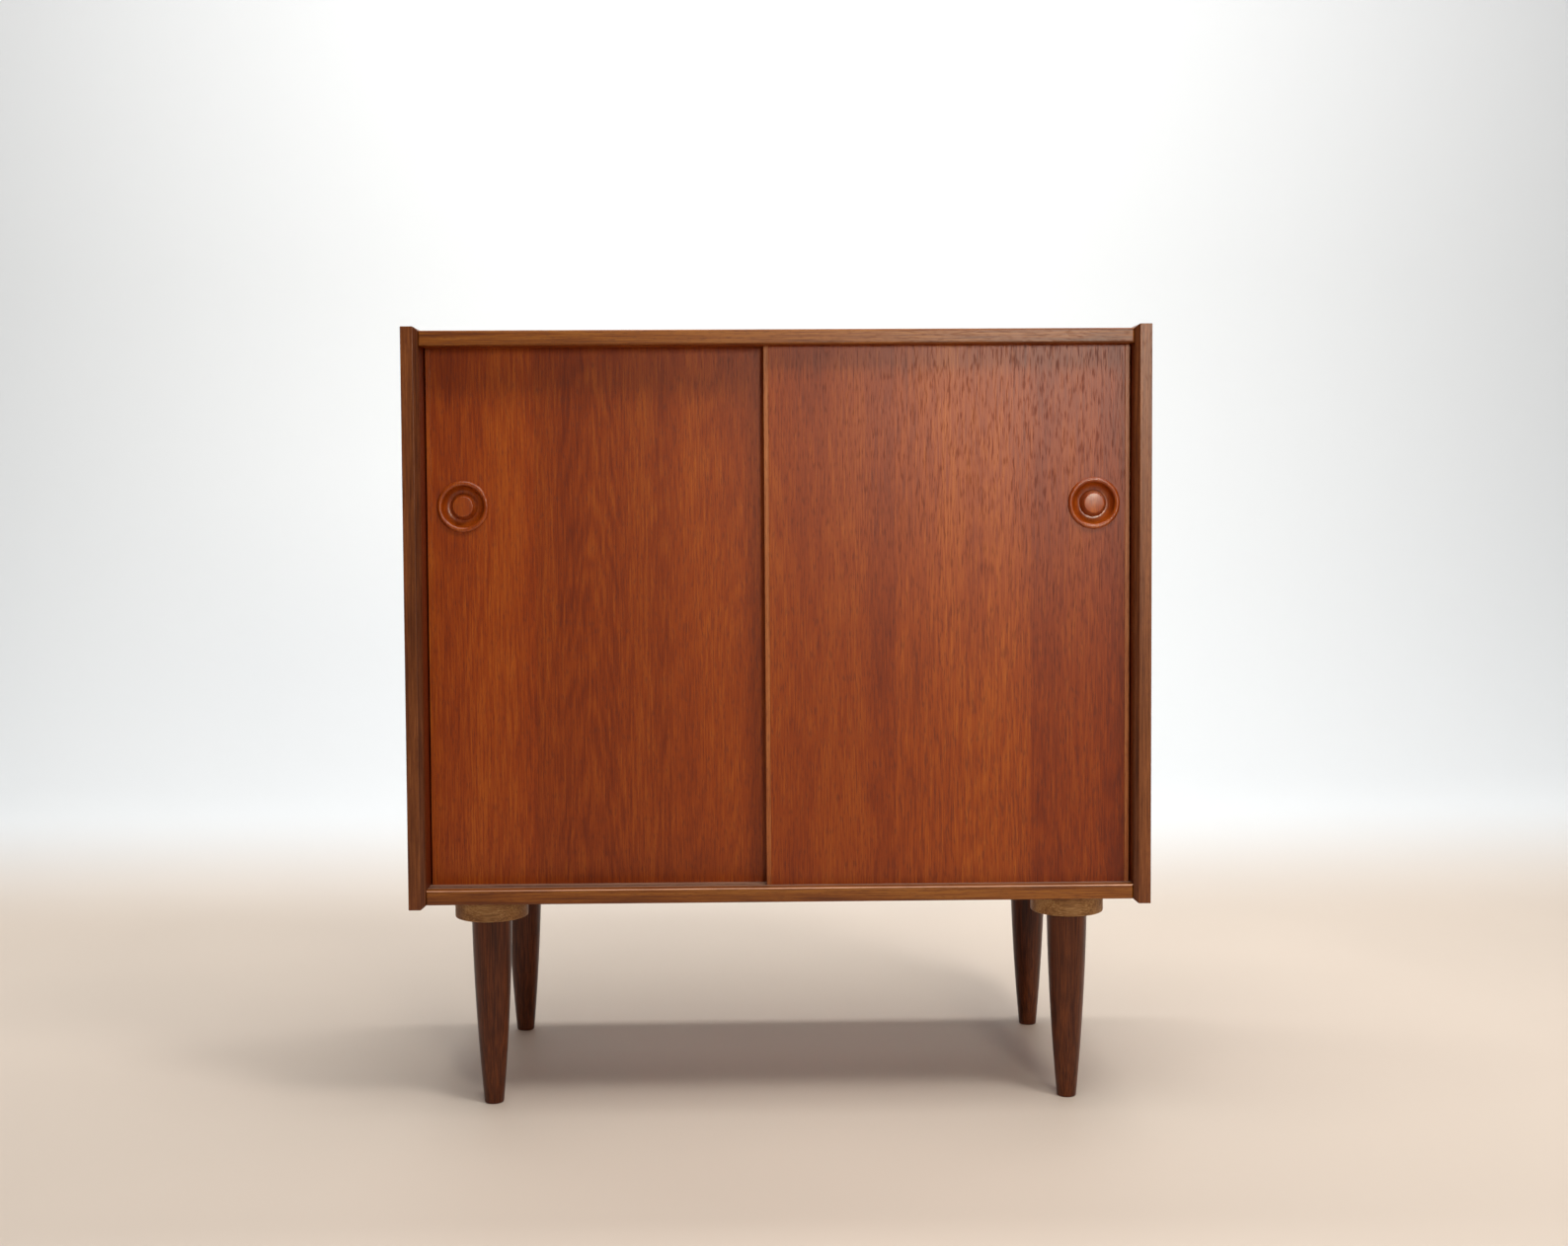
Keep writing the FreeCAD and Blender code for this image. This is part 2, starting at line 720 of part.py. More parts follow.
def door(hand):
    """One door: veneered core, a solid lipping down each edge, and its turned pull."""
    word = hand_name(hand)
    face = "front_door_face" if hand == RIGHT else "front_door_face + door_pitch"
    start = "door_at_side - door_width" if hand == RIGHT else "-1 * (door_at_side)"
    core_width = "door_width - 2 * door_lipping"
    core = door_strip(f"{word}_door_panel", f"{start} + door_lipping", face, core_width)
    lippings = {
        LEFT: start,
        RIGHT: f"{start} + door_width - door_lipping",
    }
    for edge, x in lippings.items():
        name = "outer" if edge == hand else "inner"
        door_strip(f"{word}_door_{name}_lipping", x, face, "door_lipping", rounded=edge)

    if hand == RIGHT:
        across = f"{core_width} + door_lipping - pull_inset"
    else:
        across = "pull_inset - door_lipping"
    bore = new_sketch(core, "pull_bore", "XZ_Plane")
    circle(bore, across, "pull_level - door_base", "2 * (pull_cup_radius + pull_cup_clearance)")
    pocket(core, bore, "door_thickness")
    pull(f"{word}_door_pull", signed(hand, "pull_at_side"), face)


def pull(label, x, y):
    """Turned pull: rounded rim on the door's face, a dished recess and a boss in its middle.

    In the profile, x is the distance from the pull's axis and y the depth behind the door's face.
    """
    body = new_body(label, x, y, "pull_level")
    profile = new_sketch(body, "profile", "XY_Plane")
    boss_face = "pull_boss_drop - pull_rim_height"
    outline(profile, [
        ("0", boss_face),
        ("pull_boss_top_diameter / 2 - pull_boss_rounding", boss_face),
        ("pull_boss_top_diameter / 2", f"{boss_face} + pull_boss_rounding"),
        ("pull_boss_base_diameter / 2", "pull_dish_depth"),
        ("pull_recess_radius", "-1 * pull_rim_base"),
        ("pull_diameter / 2", "-1 * pull_rim_base"),
        ("pull_diameter / 2", "0"),
        ("pull_cup_radius", "0"),
        ("pull_cup_radius", "door_thickness - pull_back_clearance"),
        ("0", "door_thickness - pull_back_clearance"),
    ], arcs={
        1: ("pull_boss_rounding", 1),
        3: ("pull_dish_radius", -1),
        4: ("pull_rim_radius", 1),
    })
    turn(body, profile)


# ---------------------------------------------------------------- the whole cabinet
def build():
    """Make every sub-part."""
    for hand in (LEFT, RIGHT):
        side_panel(hand)
        side_front_lipping(hand)
        for end in (TOP, BOTTOM):
            side_end_lipping(hand, end)
    board(TOP)
    pilot_holes(board(BOTTOM))
    for word, base in (("top", "top_board_base"), ("bottom", "bottom_board_base")):
        edge_lipping(f"{word}_board_lipping", "-inner_width / 2", "board_front", base,
                     "inner_width", "board_lipping", "board_thickness")
    for end in (TOP, BOTTOM):
        dowels(end)

    box("back_panel", "-1 * (back_width) / 2", "cabinet_depth / 2 - back_thickness", "back_base",
        "back_width", "back_thickness", "back_height")
    back_pins()
    box("shelf", "-1 * (shelf_width) / 2", "shelf_front + shelf_lipping", "shelf_base",
        "shelf_width", "shelf_depth - shelf_lipping", "shelf_thickness")
    edge_lipping("shelf_lipping", "-1 * (shelf_width) / 2", "shelf_front", "shelf_base",
                 "shelf_width", "shelf_lipping", "shelf_thickness")
    shelf_pins()

    for name, (x, y) in zip(LEG_NAMES, LEG_PLACES):
        leg(name, x, y)
        collar(name, x, y)
    leg_fastenings()
    collar_screws()

    for hand in (LEFT, RIGHT):
        door(hand)


def check():
    """Stop if any object failed, or any sub-part has no valid solid."""
    doc.recompute()
    for item in doc.Objects:
        if "Invalid" in item.State or "Error" in item.State:
            raise RuntimeError(f"{item.Name} failed: {item.State}")
    for item in sub_parts:
        if item.Shape.isNull() or not item.Shape.isValid() or not item.Shape.Solids:
            raise RuntimeError(f"{item.Label} has no valid solid")


def write():
    """Write each sub-part to a file of its own name."""
    os.makedirs("parts", exist_ok=True)
    for item in sub_parts:
        item.Shape.exportStep(f"parts/{item.Label}.step")
        print(f"{item.Label}: {len(item.Shape.Solids)} solid(s), {item.Shape.Volume:.0f} mm3")


build()
check()
write()
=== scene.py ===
import json
import math

import bmesh
import bpy
from mathutils import Matrix, Vector

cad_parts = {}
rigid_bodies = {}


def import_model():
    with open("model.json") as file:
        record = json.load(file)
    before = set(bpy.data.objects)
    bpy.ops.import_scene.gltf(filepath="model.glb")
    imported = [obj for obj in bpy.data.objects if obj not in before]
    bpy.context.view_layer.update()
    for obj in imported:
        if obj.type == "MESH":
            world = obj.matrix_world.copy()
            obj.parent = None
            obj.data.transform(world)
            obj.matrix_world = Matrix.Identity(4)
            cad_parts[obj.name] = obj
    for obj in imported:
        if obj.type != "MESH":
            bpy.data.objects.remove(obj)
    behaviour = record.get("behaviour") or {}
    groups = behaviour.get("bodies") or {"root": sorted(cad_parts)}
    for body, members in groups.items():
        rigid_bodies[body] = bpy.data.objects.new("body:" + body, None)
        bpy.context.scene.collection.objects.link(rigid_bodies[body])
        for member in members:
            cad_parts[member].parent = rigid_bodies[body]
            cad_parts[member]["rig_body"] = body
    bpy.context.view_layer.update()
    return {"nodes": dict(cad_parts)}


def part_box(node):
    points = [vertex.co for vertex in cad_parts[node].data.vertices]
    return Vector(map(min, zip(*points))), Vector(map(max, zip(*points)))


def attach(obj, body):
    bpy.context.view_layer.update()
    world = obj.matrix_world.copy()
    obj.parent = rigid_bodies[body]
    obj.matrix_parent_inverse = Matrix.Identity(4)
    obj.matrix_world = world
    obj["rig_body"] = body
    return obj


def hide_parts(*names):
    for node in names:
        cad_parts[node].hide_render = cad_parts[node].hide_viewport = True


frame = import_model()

bl_info = {
    "name": "Sliding-door cabinet",
    "version": (1, 0, 0),
    "blender": (4, 5, 0),
    "location": "3D View > Sidebar > Cabinet",
    "description": "Models and finishes a low cabinet with two sliding doors around its CAD frame",
    "category": "Object",
}

NODES = frame["nodes"]
CORNERS = ("front_left", "front_right", "back_left", "back_right")
MM = 0.001
CUT_GAP = 0.001 * MM  # a cut that passes a corner nearer than this goes through it
WELD_GAP = 0.005 * MM  # corners nearer than this become one
UP = Vector((0, 0, 1))


# ---------------------------------------------------------------- small helpers
def linear(code):
    """An sRGB hex colour as linear RGBA."""
    parts = [int(code[place:place + 2], 16) / 255 for place in (0, 2, 4)]
    return tuple(c / 12.92 if c <= 0.04045 else ((c + 0.055) / 1.055) ** 2.4 for c in parts) + (1,)


def only(piece):
    """Select one object and nothing else."""
    bpy.ops.object.select_all(action="DESELECT")
    piece.select_set(True)
    bpy.context.view_layer.objects.active = piece


def named(name):
    """Name the object that was just added, and put its place into its mesh."""
    piece = bpy.context.object
    piece.name = name
    piece.data.name = name
    bpy.ops.object.transform_apply(location=True, rotation=True, scale=True)
    return piece


def stick(name, low, high):
    """Start a straight piece that fills the box between two corners."""
    bpy.ops.object.select_all(action="DESELECT")
    bpy.ops.mesh.primitive_cube_add(size=1, location=(low + high) / 2, scale=high - low)
    return named(name)


def plane_off(piece, point, normal):
    """Cut away what lies beyond a plane, and close the cut."""
    only(piece)
    bpy.ops.object.mode_set(mode="EDIT")
    bpy.ops.mesh.select_all(action="SELECT")
    bpy.ops.mesh.bisect(plane_co=point, plane_no=normal.normalized(), use_fill=True,
                        clear_outer=True, threshold=CUT_GAP)
    bpy.ops.object.mode_set(mode="OBJECT")


def pick_edges(piece, test):
    """In edit mode, select the edges whose two ends pass a test."""
    bpy.ops.mesh.select_mode(type="EDGE")
    bpy.ops.mesh.select_all(action="DESELECT")
    shape = bmesh.from_edit_mesh(piece.data)
    for edge in shape.edges:
        edge.select_set(all(test(corner.co) for corner in edge.verts))
    bmesh.update_edit_mesh(piece.data)


def pick_faces(piece, test):
    """In edit mode, select the faces whose middle and normal pass a test."""
    bpy.ops.mesh.select_mode(type="FACE")
    bpy.ops.mesh.select_all(action="DESELECT")
    shape = bmesh.from_edit_mesh(piece.data)
    for face in shape.faces:
        face.select_set(test(face.calc_center_median(), face.normal))
    bmesh.update_edit_mesh(piece.data)


def round_edge(piece, width, test):
    """Round the edges whose two ends pass a test."""
    only(piece)
    bpy.ops.object.mode_set(mode="EDIT")
    pick_edges(piece, test)
    bpy.ops.mesh.bevel(offset=width, segments=4, affect="EDGES")
    bpy.ops.object.mode_set(mode="OBJECT")


def ease(piece, width):
    """Take the sharpness off every arris, as fine sandpaper does, and leave gentle turns alone."""
    gentle = math.radians(28)
    only(piece)
    bevel = piece.modifiers.new("eased", "BEVEL")
    bevel.width = width
    bevel.segments = 3
    bevel.limit_method = "ANGLE"
    bevel.angle_limit = gentle
    bpy.ops.object.modifier_apply(modifier=bevel.name)


def door_slab(name, low, high, sizes):
    """A full-height slab as thin as its tongues, thickened behind between its two shoulders."""
    lower, upper = low.z + sizes.shoulder_below, high.z - sizes.shoulder_above
    slab = stick(name, low, Vector((high.x, low.y + sizes.tongue, high.z)))
    bpy.ops.object.mode_set(mode="EDIT")
    for level in (lower, upper):
        bpy.ops.mesh.select_all(action="SELECT")
        bpy.ops.mesh.bisect(plane_co=(0, 0, level), plane_no=UP, threshold=CUT_GAP)
    facing_back = 0.9
    pick_faces(slab, lambda middle, normal: normal.y > facing_back and lower < middle.z < upper)
    back = high.y - low.y - sizes.tongue
    bpy.ops.mesh.extrude_region_move(TRANSFORM_OT_translate={"value": (0, back, 0)})
    bpy.ops.object.mode_set(mode="OBJECT")
    return slab


def cut_out(piece, cutter):
    """Take one solid out of another, and throw the cutter away."""
    only(piece)
    cut = piece.modifiers.new("cut", "BOOLEAN")
    cut.object = cutter
    bpy.ops.object.modifier_apply(modifier=cut.name)
    bpy.data.objects.remove(cutter)


def arc(start, end, radius, steps, side=1):
    """Points from start to end on the shorter arc; side 1 swells to the right of that way."""
    start, end = Vector(start), Vector(end)
    half = (end - start) / 2
    right = Vector((half.y, -half.x)).normalized() * side
    middle = start + half - right * math.sqrt(radius ** 2 - half.length ** 2)
    first = start - middle
    turn = 2 * math.asin(half.length / radius) * side
    points = []
    for step in range(steps + 1):
        points.append(middle + Matrix.Rotation(turn * step / steps, 2) @ first)
    return points


def turned(name, profile, steps, centre, axis, out=Vector((1, 0, 0))):
    """Turn a profile of (radius, distance along the axis) once round the axis through a centre."""
    sharp = math.radians(32)
    bpy.ops.object.select_all(action="DESELECT")
    bpy.ops.mesh.primitive_plane_add(size=0.01, location=(0, 0, 0))
    bpy.ops.object.mode_set(mode="EDIT")
    bpy.ops.mesh.select_mode(type="VERT")
    bpy.ops.mesh.select_all(action="SELECT")
    bpy.ops.mesh.merge(type="CENTER")
    here = Vector((0, 0, 0))
    for number, (radius, distance) in enumerate(profile):
        place = centre + out * radius + axis * distance
        if number == 0:
            bpy.ops.transform.translate(value=place - here)
        else:
            bpy.ops.mesh.extrude_region_move(TRANSFORM_OT_translate={"value": place - here})
        here = place
    bpy.ops.mesh.select_all(action="SELECT")
    bpy.ops.mesh.spin(steps=steps, angle=math.tau, center=centre, axis=axis)
    bpy.ops.mesh.select_all(action="SELECT")
    bpy.ops.mesh.remove_doubles(threshold=WELD_GAP)
    bpy.ops.mesh.normals_make_consistent(inside=False)
    bpy.ops.object.mode_set(mode="OBJECT")
    piece = named(name)
    bpy.ops.object.shade_smooth_by_angle(angle=sharp)
    return piece


def copied(piece, name, move=(0, 0, 0), mirrored=False):
    """A copy with its own mesh, moved, or mirrored left to right."""
    only(piece)
    bpy.ops.object.duplicate(linked=False)
    bpy.ops.object.mode_set(mode="EDIT")
    bpy.ops.mesh.select_all(action="SELECT")
    if mirrored:
        bpy.ops.transform.resize(value=(-1, 1, 1), center_override=(0, 0, 0))
        bpy.ops.mesh.normals_make_consistent(inside=False)
    bpy.ops.transform.translate(value=move)
    bpy.ops.object.mode_set(mode="OBJECT")
    return named(name)


def joined(pieces, name):
    """Several like pieces as one object."""
    bpy.ops.object.select_all(action="DESELECT")
    for piece in pieces:
        piece.select_set(True)
    bpy.context.view_layer.objects.active = pieces[0]
    bpy.ops.object.join()
    return named(name)


def lay_finish(piece, finish):
    """Give a piece or a CAD node one finish all over."""
    piece.data.materials.clear()
    piece.data.materials.append(bpy.data.materials[finish])


def fit(piece, node, finish):
    """Let a piece stand for a CAD node, on the node's own body."""
    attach(piece, NODES[node]["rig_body"])
    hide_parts(node)
    lay_finish(piece, finish)


def start_material(name):
    """A new material with its node tree, its shader and its pattern's place on the object."""
    material = bpy.data.materials.new(name)
    material.use_nodes = True
    tree = material.node_tree
    place = add_node(tree, "ShaderNodeTexCoord").outputs["Object"]
    return material, tree, tree.nodes["Principled BSDF"], place


def feed(tree, node, inputs):
    """Give a node its inputs, as values or as other nodes' outputs."""
    for socket, given in inputs.items():
        if isinstance(given, bpy.types.NodeSocket):
            tree.links.new(given, node.inputs[socket])
        else:
            node.inputs[socket].default_value = given


def add_node(tree, kind, inputs=None, stops=None, **settings):
    """Add a node with its settings, its inputs and, on a ramp, its stops."""
    node = tree.nodes.new(kind)
    for name, setting in settings.items():
        setattr(node, name, setting)
    feed(tree, node, inputs or {})
    for number, (position, colour) in enumerate(stops or ()):
        if number < 2:
            stop = node.color_ramp.elements[number]
        else:
            stop = node.color_ramp.elements.new(position)
        stop.position = position
        stop.color = colour
    return node


# ---------------------------------------------------------------- sizes and colours
def length(name, description, millimetres):
    """A length property, given in millimetres."""
    return bpy.props.FloatProperty(
        name=name, description=description, default=millimetres * MM, min=0,
        subtype="DISTANCE", unit="LENGTH", precision=4)


def facet_count(name, description, faces):
    """A property for how many faces go once round a turned piece."""
    return bpy.props.IntProperty(
        name=name, description=description, default=faces, min=16, max=160)


def colour(name, description, code):
    """A colour property, given as an sRGB hex value."""
    return bpy.props.FloatVectorProperty(
        name=name, description=description, default=linear(code), size=4, min=0, max=1,
        subtype="COLOR")


class CabinetSizes(bpy.types.PropertyGroup):
    """Small sizes of the turned and planed pieces."""
    easing: length("Easing", "How far each sharp arris is sanded back", 0.5)
    lipping_easing: length("Lipping easing", "Easing where a lipping meets its panel", 0.3)
    bevel_width: length("Bevel width", "Bevel on a side panel's inner arris, across", 5)
    bevel_depth: length("Bevel depth", "How far that bevel goes back from the front", 4)
    board_arris: length("Board arris", "Rounding of the board fronts", 2)
    foot_diameter: length("Foot diameter", "Leg diameter at the floor", 21.5)
    foot_rounding: length("Foot rounding", "Rounding round the foot of a leg", 1.5)
    leg_swell: length("Leg swell", "Radius of the long swell of a leg", 2800)
    bolt_diameter: length("Bolt diameter", "Bore for the bolt in the top of a leg", 8)
    bolt_depth: length("Bolt depth", "How deep a leg is bored", 32)
    screw_head: length("Screw head", "Diameter of a collar screw's head", 7.5)
    screw_shank: length("Screw shank", "Diameter of a collar screw", 4)
    screw_sink: length("Screw sink", "Depth of a screw's countersunk head", 3.5)
    screw_slot: length("Screw slot", "Width of the slot in a screw head", 1.1)
    tongue: length("Tongue", "Thickness of a door where it runs in its grooves", 6)
    shoulder_below: length("Lower shoulder", "Height of a door's rebate at its foot", 5.4)
    shoulder_above: length("Upper shoulder", "Height of a door's rebate at its head", 12)
    pin_diameter: length("Pin diameter", "Shank of a shelf pin", 5)
    pin_flange: length("Pin flange", "Diameter of a shelf pin's flange", 8)
    pin_flange_thickness: length("Pin flange thickness", "Thickness of that flange", 1.5)
    pin_reach: length("Pin reach", "How far a shelf pin stands out of the side", 9)
    pin_chamfer: length("Pin chamfer", "Chamfer at a shelf pin's ends and flange", 0.4)
    rim_width: length("Rim width", "Width of a pull's raised rim", 5.5)
    rim_base: length("Rim base", "Height of the rim's edge over the door", 1.5)
    rim_flattening: length("Rim flattening", "How much flatter than a half circle the rim is", 0.1)
    cup_wall: length("Cup wall", "Wall of the pull's cup inside the door", 1.5)
    cup_clearance: length("Cup clearance", "Gap round the cup in its bore", 0.1)
    dish_depth: length("Dish depth", "Depth of the pull's dish behind the door face", 6.5)
    boss_base: length("Boss base", "Diameter of the boss at the bottom of the dish", 29.5)
    boss_top: length("Boss top", "Diameter of the boss at its face", 22.5)
    boss_face: length("Boss face", "How far the boss stands out of the door face", 3)
    boss_rounding: length("Boss rounding", "Rounding round the boss", 1.2)
    leaf_width: length("Leaf width", "Width of one leaf of veneer on the doors", 147)
    dish_roundness: bpy.props.FloatProperty(
        name="Dish roundness", description="Radius of the dish as a share of its slope's length",
        default=0.68, min=0.51, max=4)
    facets: facet_count("Facets", "Faces round a leg or a pull", 72)
    pin_facets: facet_count("Pin facets", "Faces round a shelf pin", 32)
    screw_facets: facet_count("Screw facets", "Faces round a screw", 24)


class CabinetColours(bpy.types.PropertyGroup):
    """Colours of the woods, the metals and the room."""
    teak_dark: colour("Teak, dark streaks", "Late wood of the teak", "792D06")
    teak_mid: colour("Teak, middle", "Body colour of the teak", "943E08")
    teak_light: colour("Teak, light streaks", "Early wood of the teak", "AA5513")
    teak_fleck: colour("Teak, pores", "Open pores of the teak", "4F1B07")
    # Painted sheen: greyish tones for the bottom's veneer in front of the doors, standing for
    # grazing light.
    sheen_veneer_dark: colour("Veneer sheen, dark", "Dark streaks of the veneer's painted sheen", "785546")
    sheen_veneer_mid: colour("Veneer sheen, middle", "Body colour of the veneer's painted sheen", "8F6B58")
    sheen_veneer_light: colour("Veneer sheen, light", "Light streaks of the veneer's painted sheen", "A37D69")
    # Painted highlight: pale tones for the bottom lipping's upper front arris.
    arris_highlight_dark: colour("Arris highlight, dark", "Dark streaks of the painted arris highlight", "A06E50")
    arris_highlight_mid: colour("Arris highlight, middle", "Body colour of the painted arris highlight", "C08A6A")
    arris_highlight_light: colour("Arris highlight, light", "Light streaks of the painted arris highlight", "D6A383")
    lipping_dark: colour("Lipping, dark", "Dark streaks of the solid teak", "5E2D0A")
    lipping_mid: colour("Lipping, middle", "Body colour of the solid teak", "7D420F")
    lipping_light: colour("Lipping, light", "Light streaks of the solid teak", "94591E")
    edge_dark: colour("Side edge, dark", "Dark streaks of the side panels' front edges", "55290F")
    edge_mid: colour("Side edge, middle", "Body colour of those edges", "723D1A")
    edge_light: colour("Side edge, light", "Light streaks of those edges", "8A5029")
    strip_dark: colour("Door edge, dark", "Dark streaks of the right door's edge strips", "84401A")
    strip_mid: colour("Door edge, middle", "Body colour of those strips", "9D5628")
    strip_light: colour("Door edge, light", "Light streaks of those strips", "B36E3C")
    stain_dark: colour("Stain, dark", "Dark streaks of the stained legs", "3A1607")
    stain_mid: colour("Stain, middle", "Body colour of the stained legs", "54270F")
    stain_light: colour("Stain, light", "Light streaks of the stained legs", "6C3617")
    beech_dark: colour("Beech, dark", "Dark streaks of the oiled beech", "774E2B")
    beech_mid: colour("Beech, middle", "Body colour of the oiled beech", "94683B")
    beech_light: colour("Beech, light", "Light streaks of the oiled beech", "B08654")
    board_brown: colour("Hardboard", "Body colour of the hardboard back", "8A6541")
    steel: colour("Steel", "Zinc-plated steel", "B4B6B8")
    brass: colour("Brass", "Turned brass", "B98F4A")
    floor: colour("Floor", "The pale floor", "DCCDBE")
    room: colour("Room", "The light round the cabinet", "F1F3F4")


# ---------------------------------------------------------------- materials
def grain_scale(along, across, lengthways):
    """Repeats per metre on each axis, from a pattern's real width and length in millimetres."""
    return tuple(1000 / (lengthways if axis == along else across) for axis in "XYZ")


def leaf_places(tree, place, joint, width, tints, axis="X"):
    """Cut the pattern into leaves at a joint and every width from it, each with its own tint."""
    jump = (0, 1.73, 0.41)  # metres from one leaf's pattern to the next, so that none look alike
    across = add_node(tree, "ShaderNodeSeparateXYZ", {"Vector": place}).outputs[axis]
    leaf = add_node(tree, "ShaderNodeMath", {0: across, 1: 1 / width, 2: -joint / width},
                    operation="MULTIPLY_ADD").outputs[0]
    number = add_node(tree, "ShaderNodeMath", {0: leaf}, operation="FLOOR").outputs[0]
    shift = add_node(tree, "ShaderNodeVectorMath", {0: jump, "Scale": number},
                     operation="SCALE").outputs[0]
    moved = add_node(tree, "ShaderNodeVectorMath", {0: place, 1: shift}, operation="ADD")
    # The first tint goes to the leaf before the joint, and each reading is taken mid-step.
    share = add_node(tree, "ShaderNodeMath", {0: number, 1: 1 / len(tints), 2: 1.5 / len(tints)},
                     operation="MULTIPLY_ADD").outputs[0]
    stops = [(order / len(tints), linear(tint)) for order, tint in enumerate(tints)]
    tint = add_node(tree, "ShaderNodeValToRGB", {"Fac": share}, stops=stops)
    tint.color_ramp.interpolation = "CONSTANT"
    return moved.outputs[0], tint.outputs["Color"]


def arched_lines(tree, place, tone, wobble, centre, width, pitch, strength):
    """Add the nested arches of a leaf sliced across the growth rings, fading at both sides."""
    unsteady = 1.2  # how many lines an arch wanders
    full, gone = 1.0, 4.5  # squares of the widths at which the arches start and end fading
    parts = add_node(tree, "ShaderNodeSeparateXYZ", {"Vector": place}).outputs
    off = add_node(tree, "ShaderNodeMath", {0: parts["X"], 1: 1 / width, 2: -centre / width},
                   operation="MULTIPLY_ADD").outputs[0]
    square = add_node(tree, "ShaderNodeMath", {0: off, 1: off}, operation="MULTIPLY").outputs[0]
    rise = add_node(tree, "ShaderNodeMath", {0: parts["Z"], 1: 1 / pitch, 2: square},
                    operation="MULTIPLY_ADD").outputs[0]
    bent = add_node(tree, "ShaderNodeMath", {0: wobble, 1: unsteady, 2: rise},
                    operation="MULTIPLY_ADD").outputs[0]
    turns = add_node(tree, "ShaderNodeMath", {0: bent, 1: math.tau},
                     operation="MULTIPLY").outputs[0]
    lines = add_node(tree, "ShaderNodeMath", {0: turns}, operation="SINE").outputs[0]
    share = add_node(tree, "ShaderNodeMapRange",
                     {"Value": square, "From Min": full, "From Max": gone, "To Min": strength,
                      "To Max": 0.0}, interpolation_type="SMOOTHSTEP").outputs[0]
    return add_node(tree, "ShaderNodeMath", {0: lines, 1: share, 2: tone},
                    operation="MULTIPLY_ADD").outputs[0]


def wood(name, tones, pore, along="Z", drift=(42, 800, 0.2), figure=(70, 420, 5, 0.04),
         fibre=(1.5, 42, 0.28), fleck=(1.3, 9, 0.36), gloss=0.36, shine=0.3, leaves=None,
         arches=None):
    """A wood: slow drift of tone, contour-like figure, long fibres and short dark pores.

    drift, fibre and fleck give a width and a length in millimetres and a strength, and figure
    gives a width, a length, how many lines cross it and a strength. gloss is the roughness
    between the pores and shine the specular level. leaves gives a joint's place and the leaves'
    width, both in metres, their tints and their axis. arches gives the place of a row of tall
    arches, their width and pitch in metres, and their strength.
    """
    pore_edge, pore_heart = 0.52, 0.7  # noise values where a pore starts and is darkest
    pore_dullness = 0.3  # how much rougher a pore is than the wood round it
    wander = (30, 160)  # width and length over which an arch wanders
    dark, middle, light = tones
    material, tree, shader, place = start_material(name)
    tint = None
    if leaves:
        place, tint = leaf_places(tree, place, *leaves)

    def layer(size, detail, signed=True):
        scaled = add_node(tree, "ShaderNodeMapping",
                          {"Vector": place, "Scale": grain_scale(along, size[0], size[1])})
        return add_node(tree, "ShaderNodeTexNoise",
                        {"Vector": scaled.outputs[0], "Scale": 1.0, "Detail": detail},
                        normalize=not signed).outputs[0]

    lines = add_node(tree, "ShaderNodeMath", {0: layer(figure, 1), 1: figure[2] * math.tau},
                     operation="MULTIPLY").outputs[0]
    waves = add_node(tree, "ShaderNodeMath", {0: lines}, operation="SINE").outputs[0]
    tone = 0.5
    for source, strength in ((layer(drift, 2), drift[2]), (waves, figure[3]),
                             (layer(fibre, 3), fibre[2])):
        tone = add_node(tree, "ShaderNodeMath", {0: source, 1: strength, 2: tone},
                        operation="MULTIPLY_ADD").outputs[0]
    if arches:
        tone = arched_lines(tree, place, tone, layer(wander, 2), *arches)
    body = add_node(tree, "ShaderNodeValToRGB", {"Fac": tone},
                    stops=[(0.2, dark), (0.8, light), (0.5, middle)])
    pores = add_node(tree, "ShaderNodeMapRange",
                     {"Value": layer(fleck, 1, signed=False), "From Min": pore_edge,
                      "From Max": pore_heart, "To Max": fleck[2]}).outputs[0]
    shade = add_node(tree, "ShaderNodeMix", {0: pores, 6: body.outputs["Color"], 7: pore},
                     data_type="RGBA").outputs[2]
    if tint:
        shade = add_node(tree, "ShaderNodeMix", {0: 1.0, 6: shade, 7: tint}, data_type="RGBA",
                         blend_type="MULTIPLY").outputs[2]
    rough = add_node(tree, "ShaderNodeMath", {0: pores, 1: pore_dullness, 2: gloss},
                     operation="MULTIPLY_ADD")
    height = add_node(tree, "ShaderNodeMath", {0: tone, 1: pores}, operation="SUBTRACT")
    bump = add_node(tree, "ShaderNodeBump",
                    {"Height": height.outputs[0], "Strength": 0.06, "Distance": 0.6 * MM})
    feed(tree, shader, {"Base Color": shade, "Roughness": rough.outputs[0],
                        "Normal": bump.outputs[0], "Specular IOR Level": shine})
    return material


def plated(name, base, rough, pitch):
    """A bare or plated metal, its gloss changing at its machining's pitch in millimetres."""
    dullest, glossiest = rough + 0.15, rough - 0.1
    material, tree, shader, place = start_material(name)
    marks = add_node(tree, "ShaderNodeTexNoise",
                     {"Vector": place, "Scale": 1000 / pitch, "Detail": 3.0}).outputs[0]
    dull = tuple(part * 0.7 for part in base[:3]) + (1,)
    tone = add_node(tree, "ShaderNodeValToRGB", {"Fac": marks}, stops=[(0.3, dull), (0.7, base)])
    gloss = add_node(tree, "ShaderNodeMapRange",
                     {"Value": marks, "To Min": glossiest, "To Max": dullest})
    bump = add_node(tree, "ShaderNodeBump",
                    {"Height": marks, "Strength": 0.1, "Distance": 0.1 * MM})
    feed(tree, shader, {"Base Color": tone.outputs["Color"], "Roughness": gloss.outputs[0],
                        "Normal": bump.outputs[0], "Metallic": 1.0})
    return material


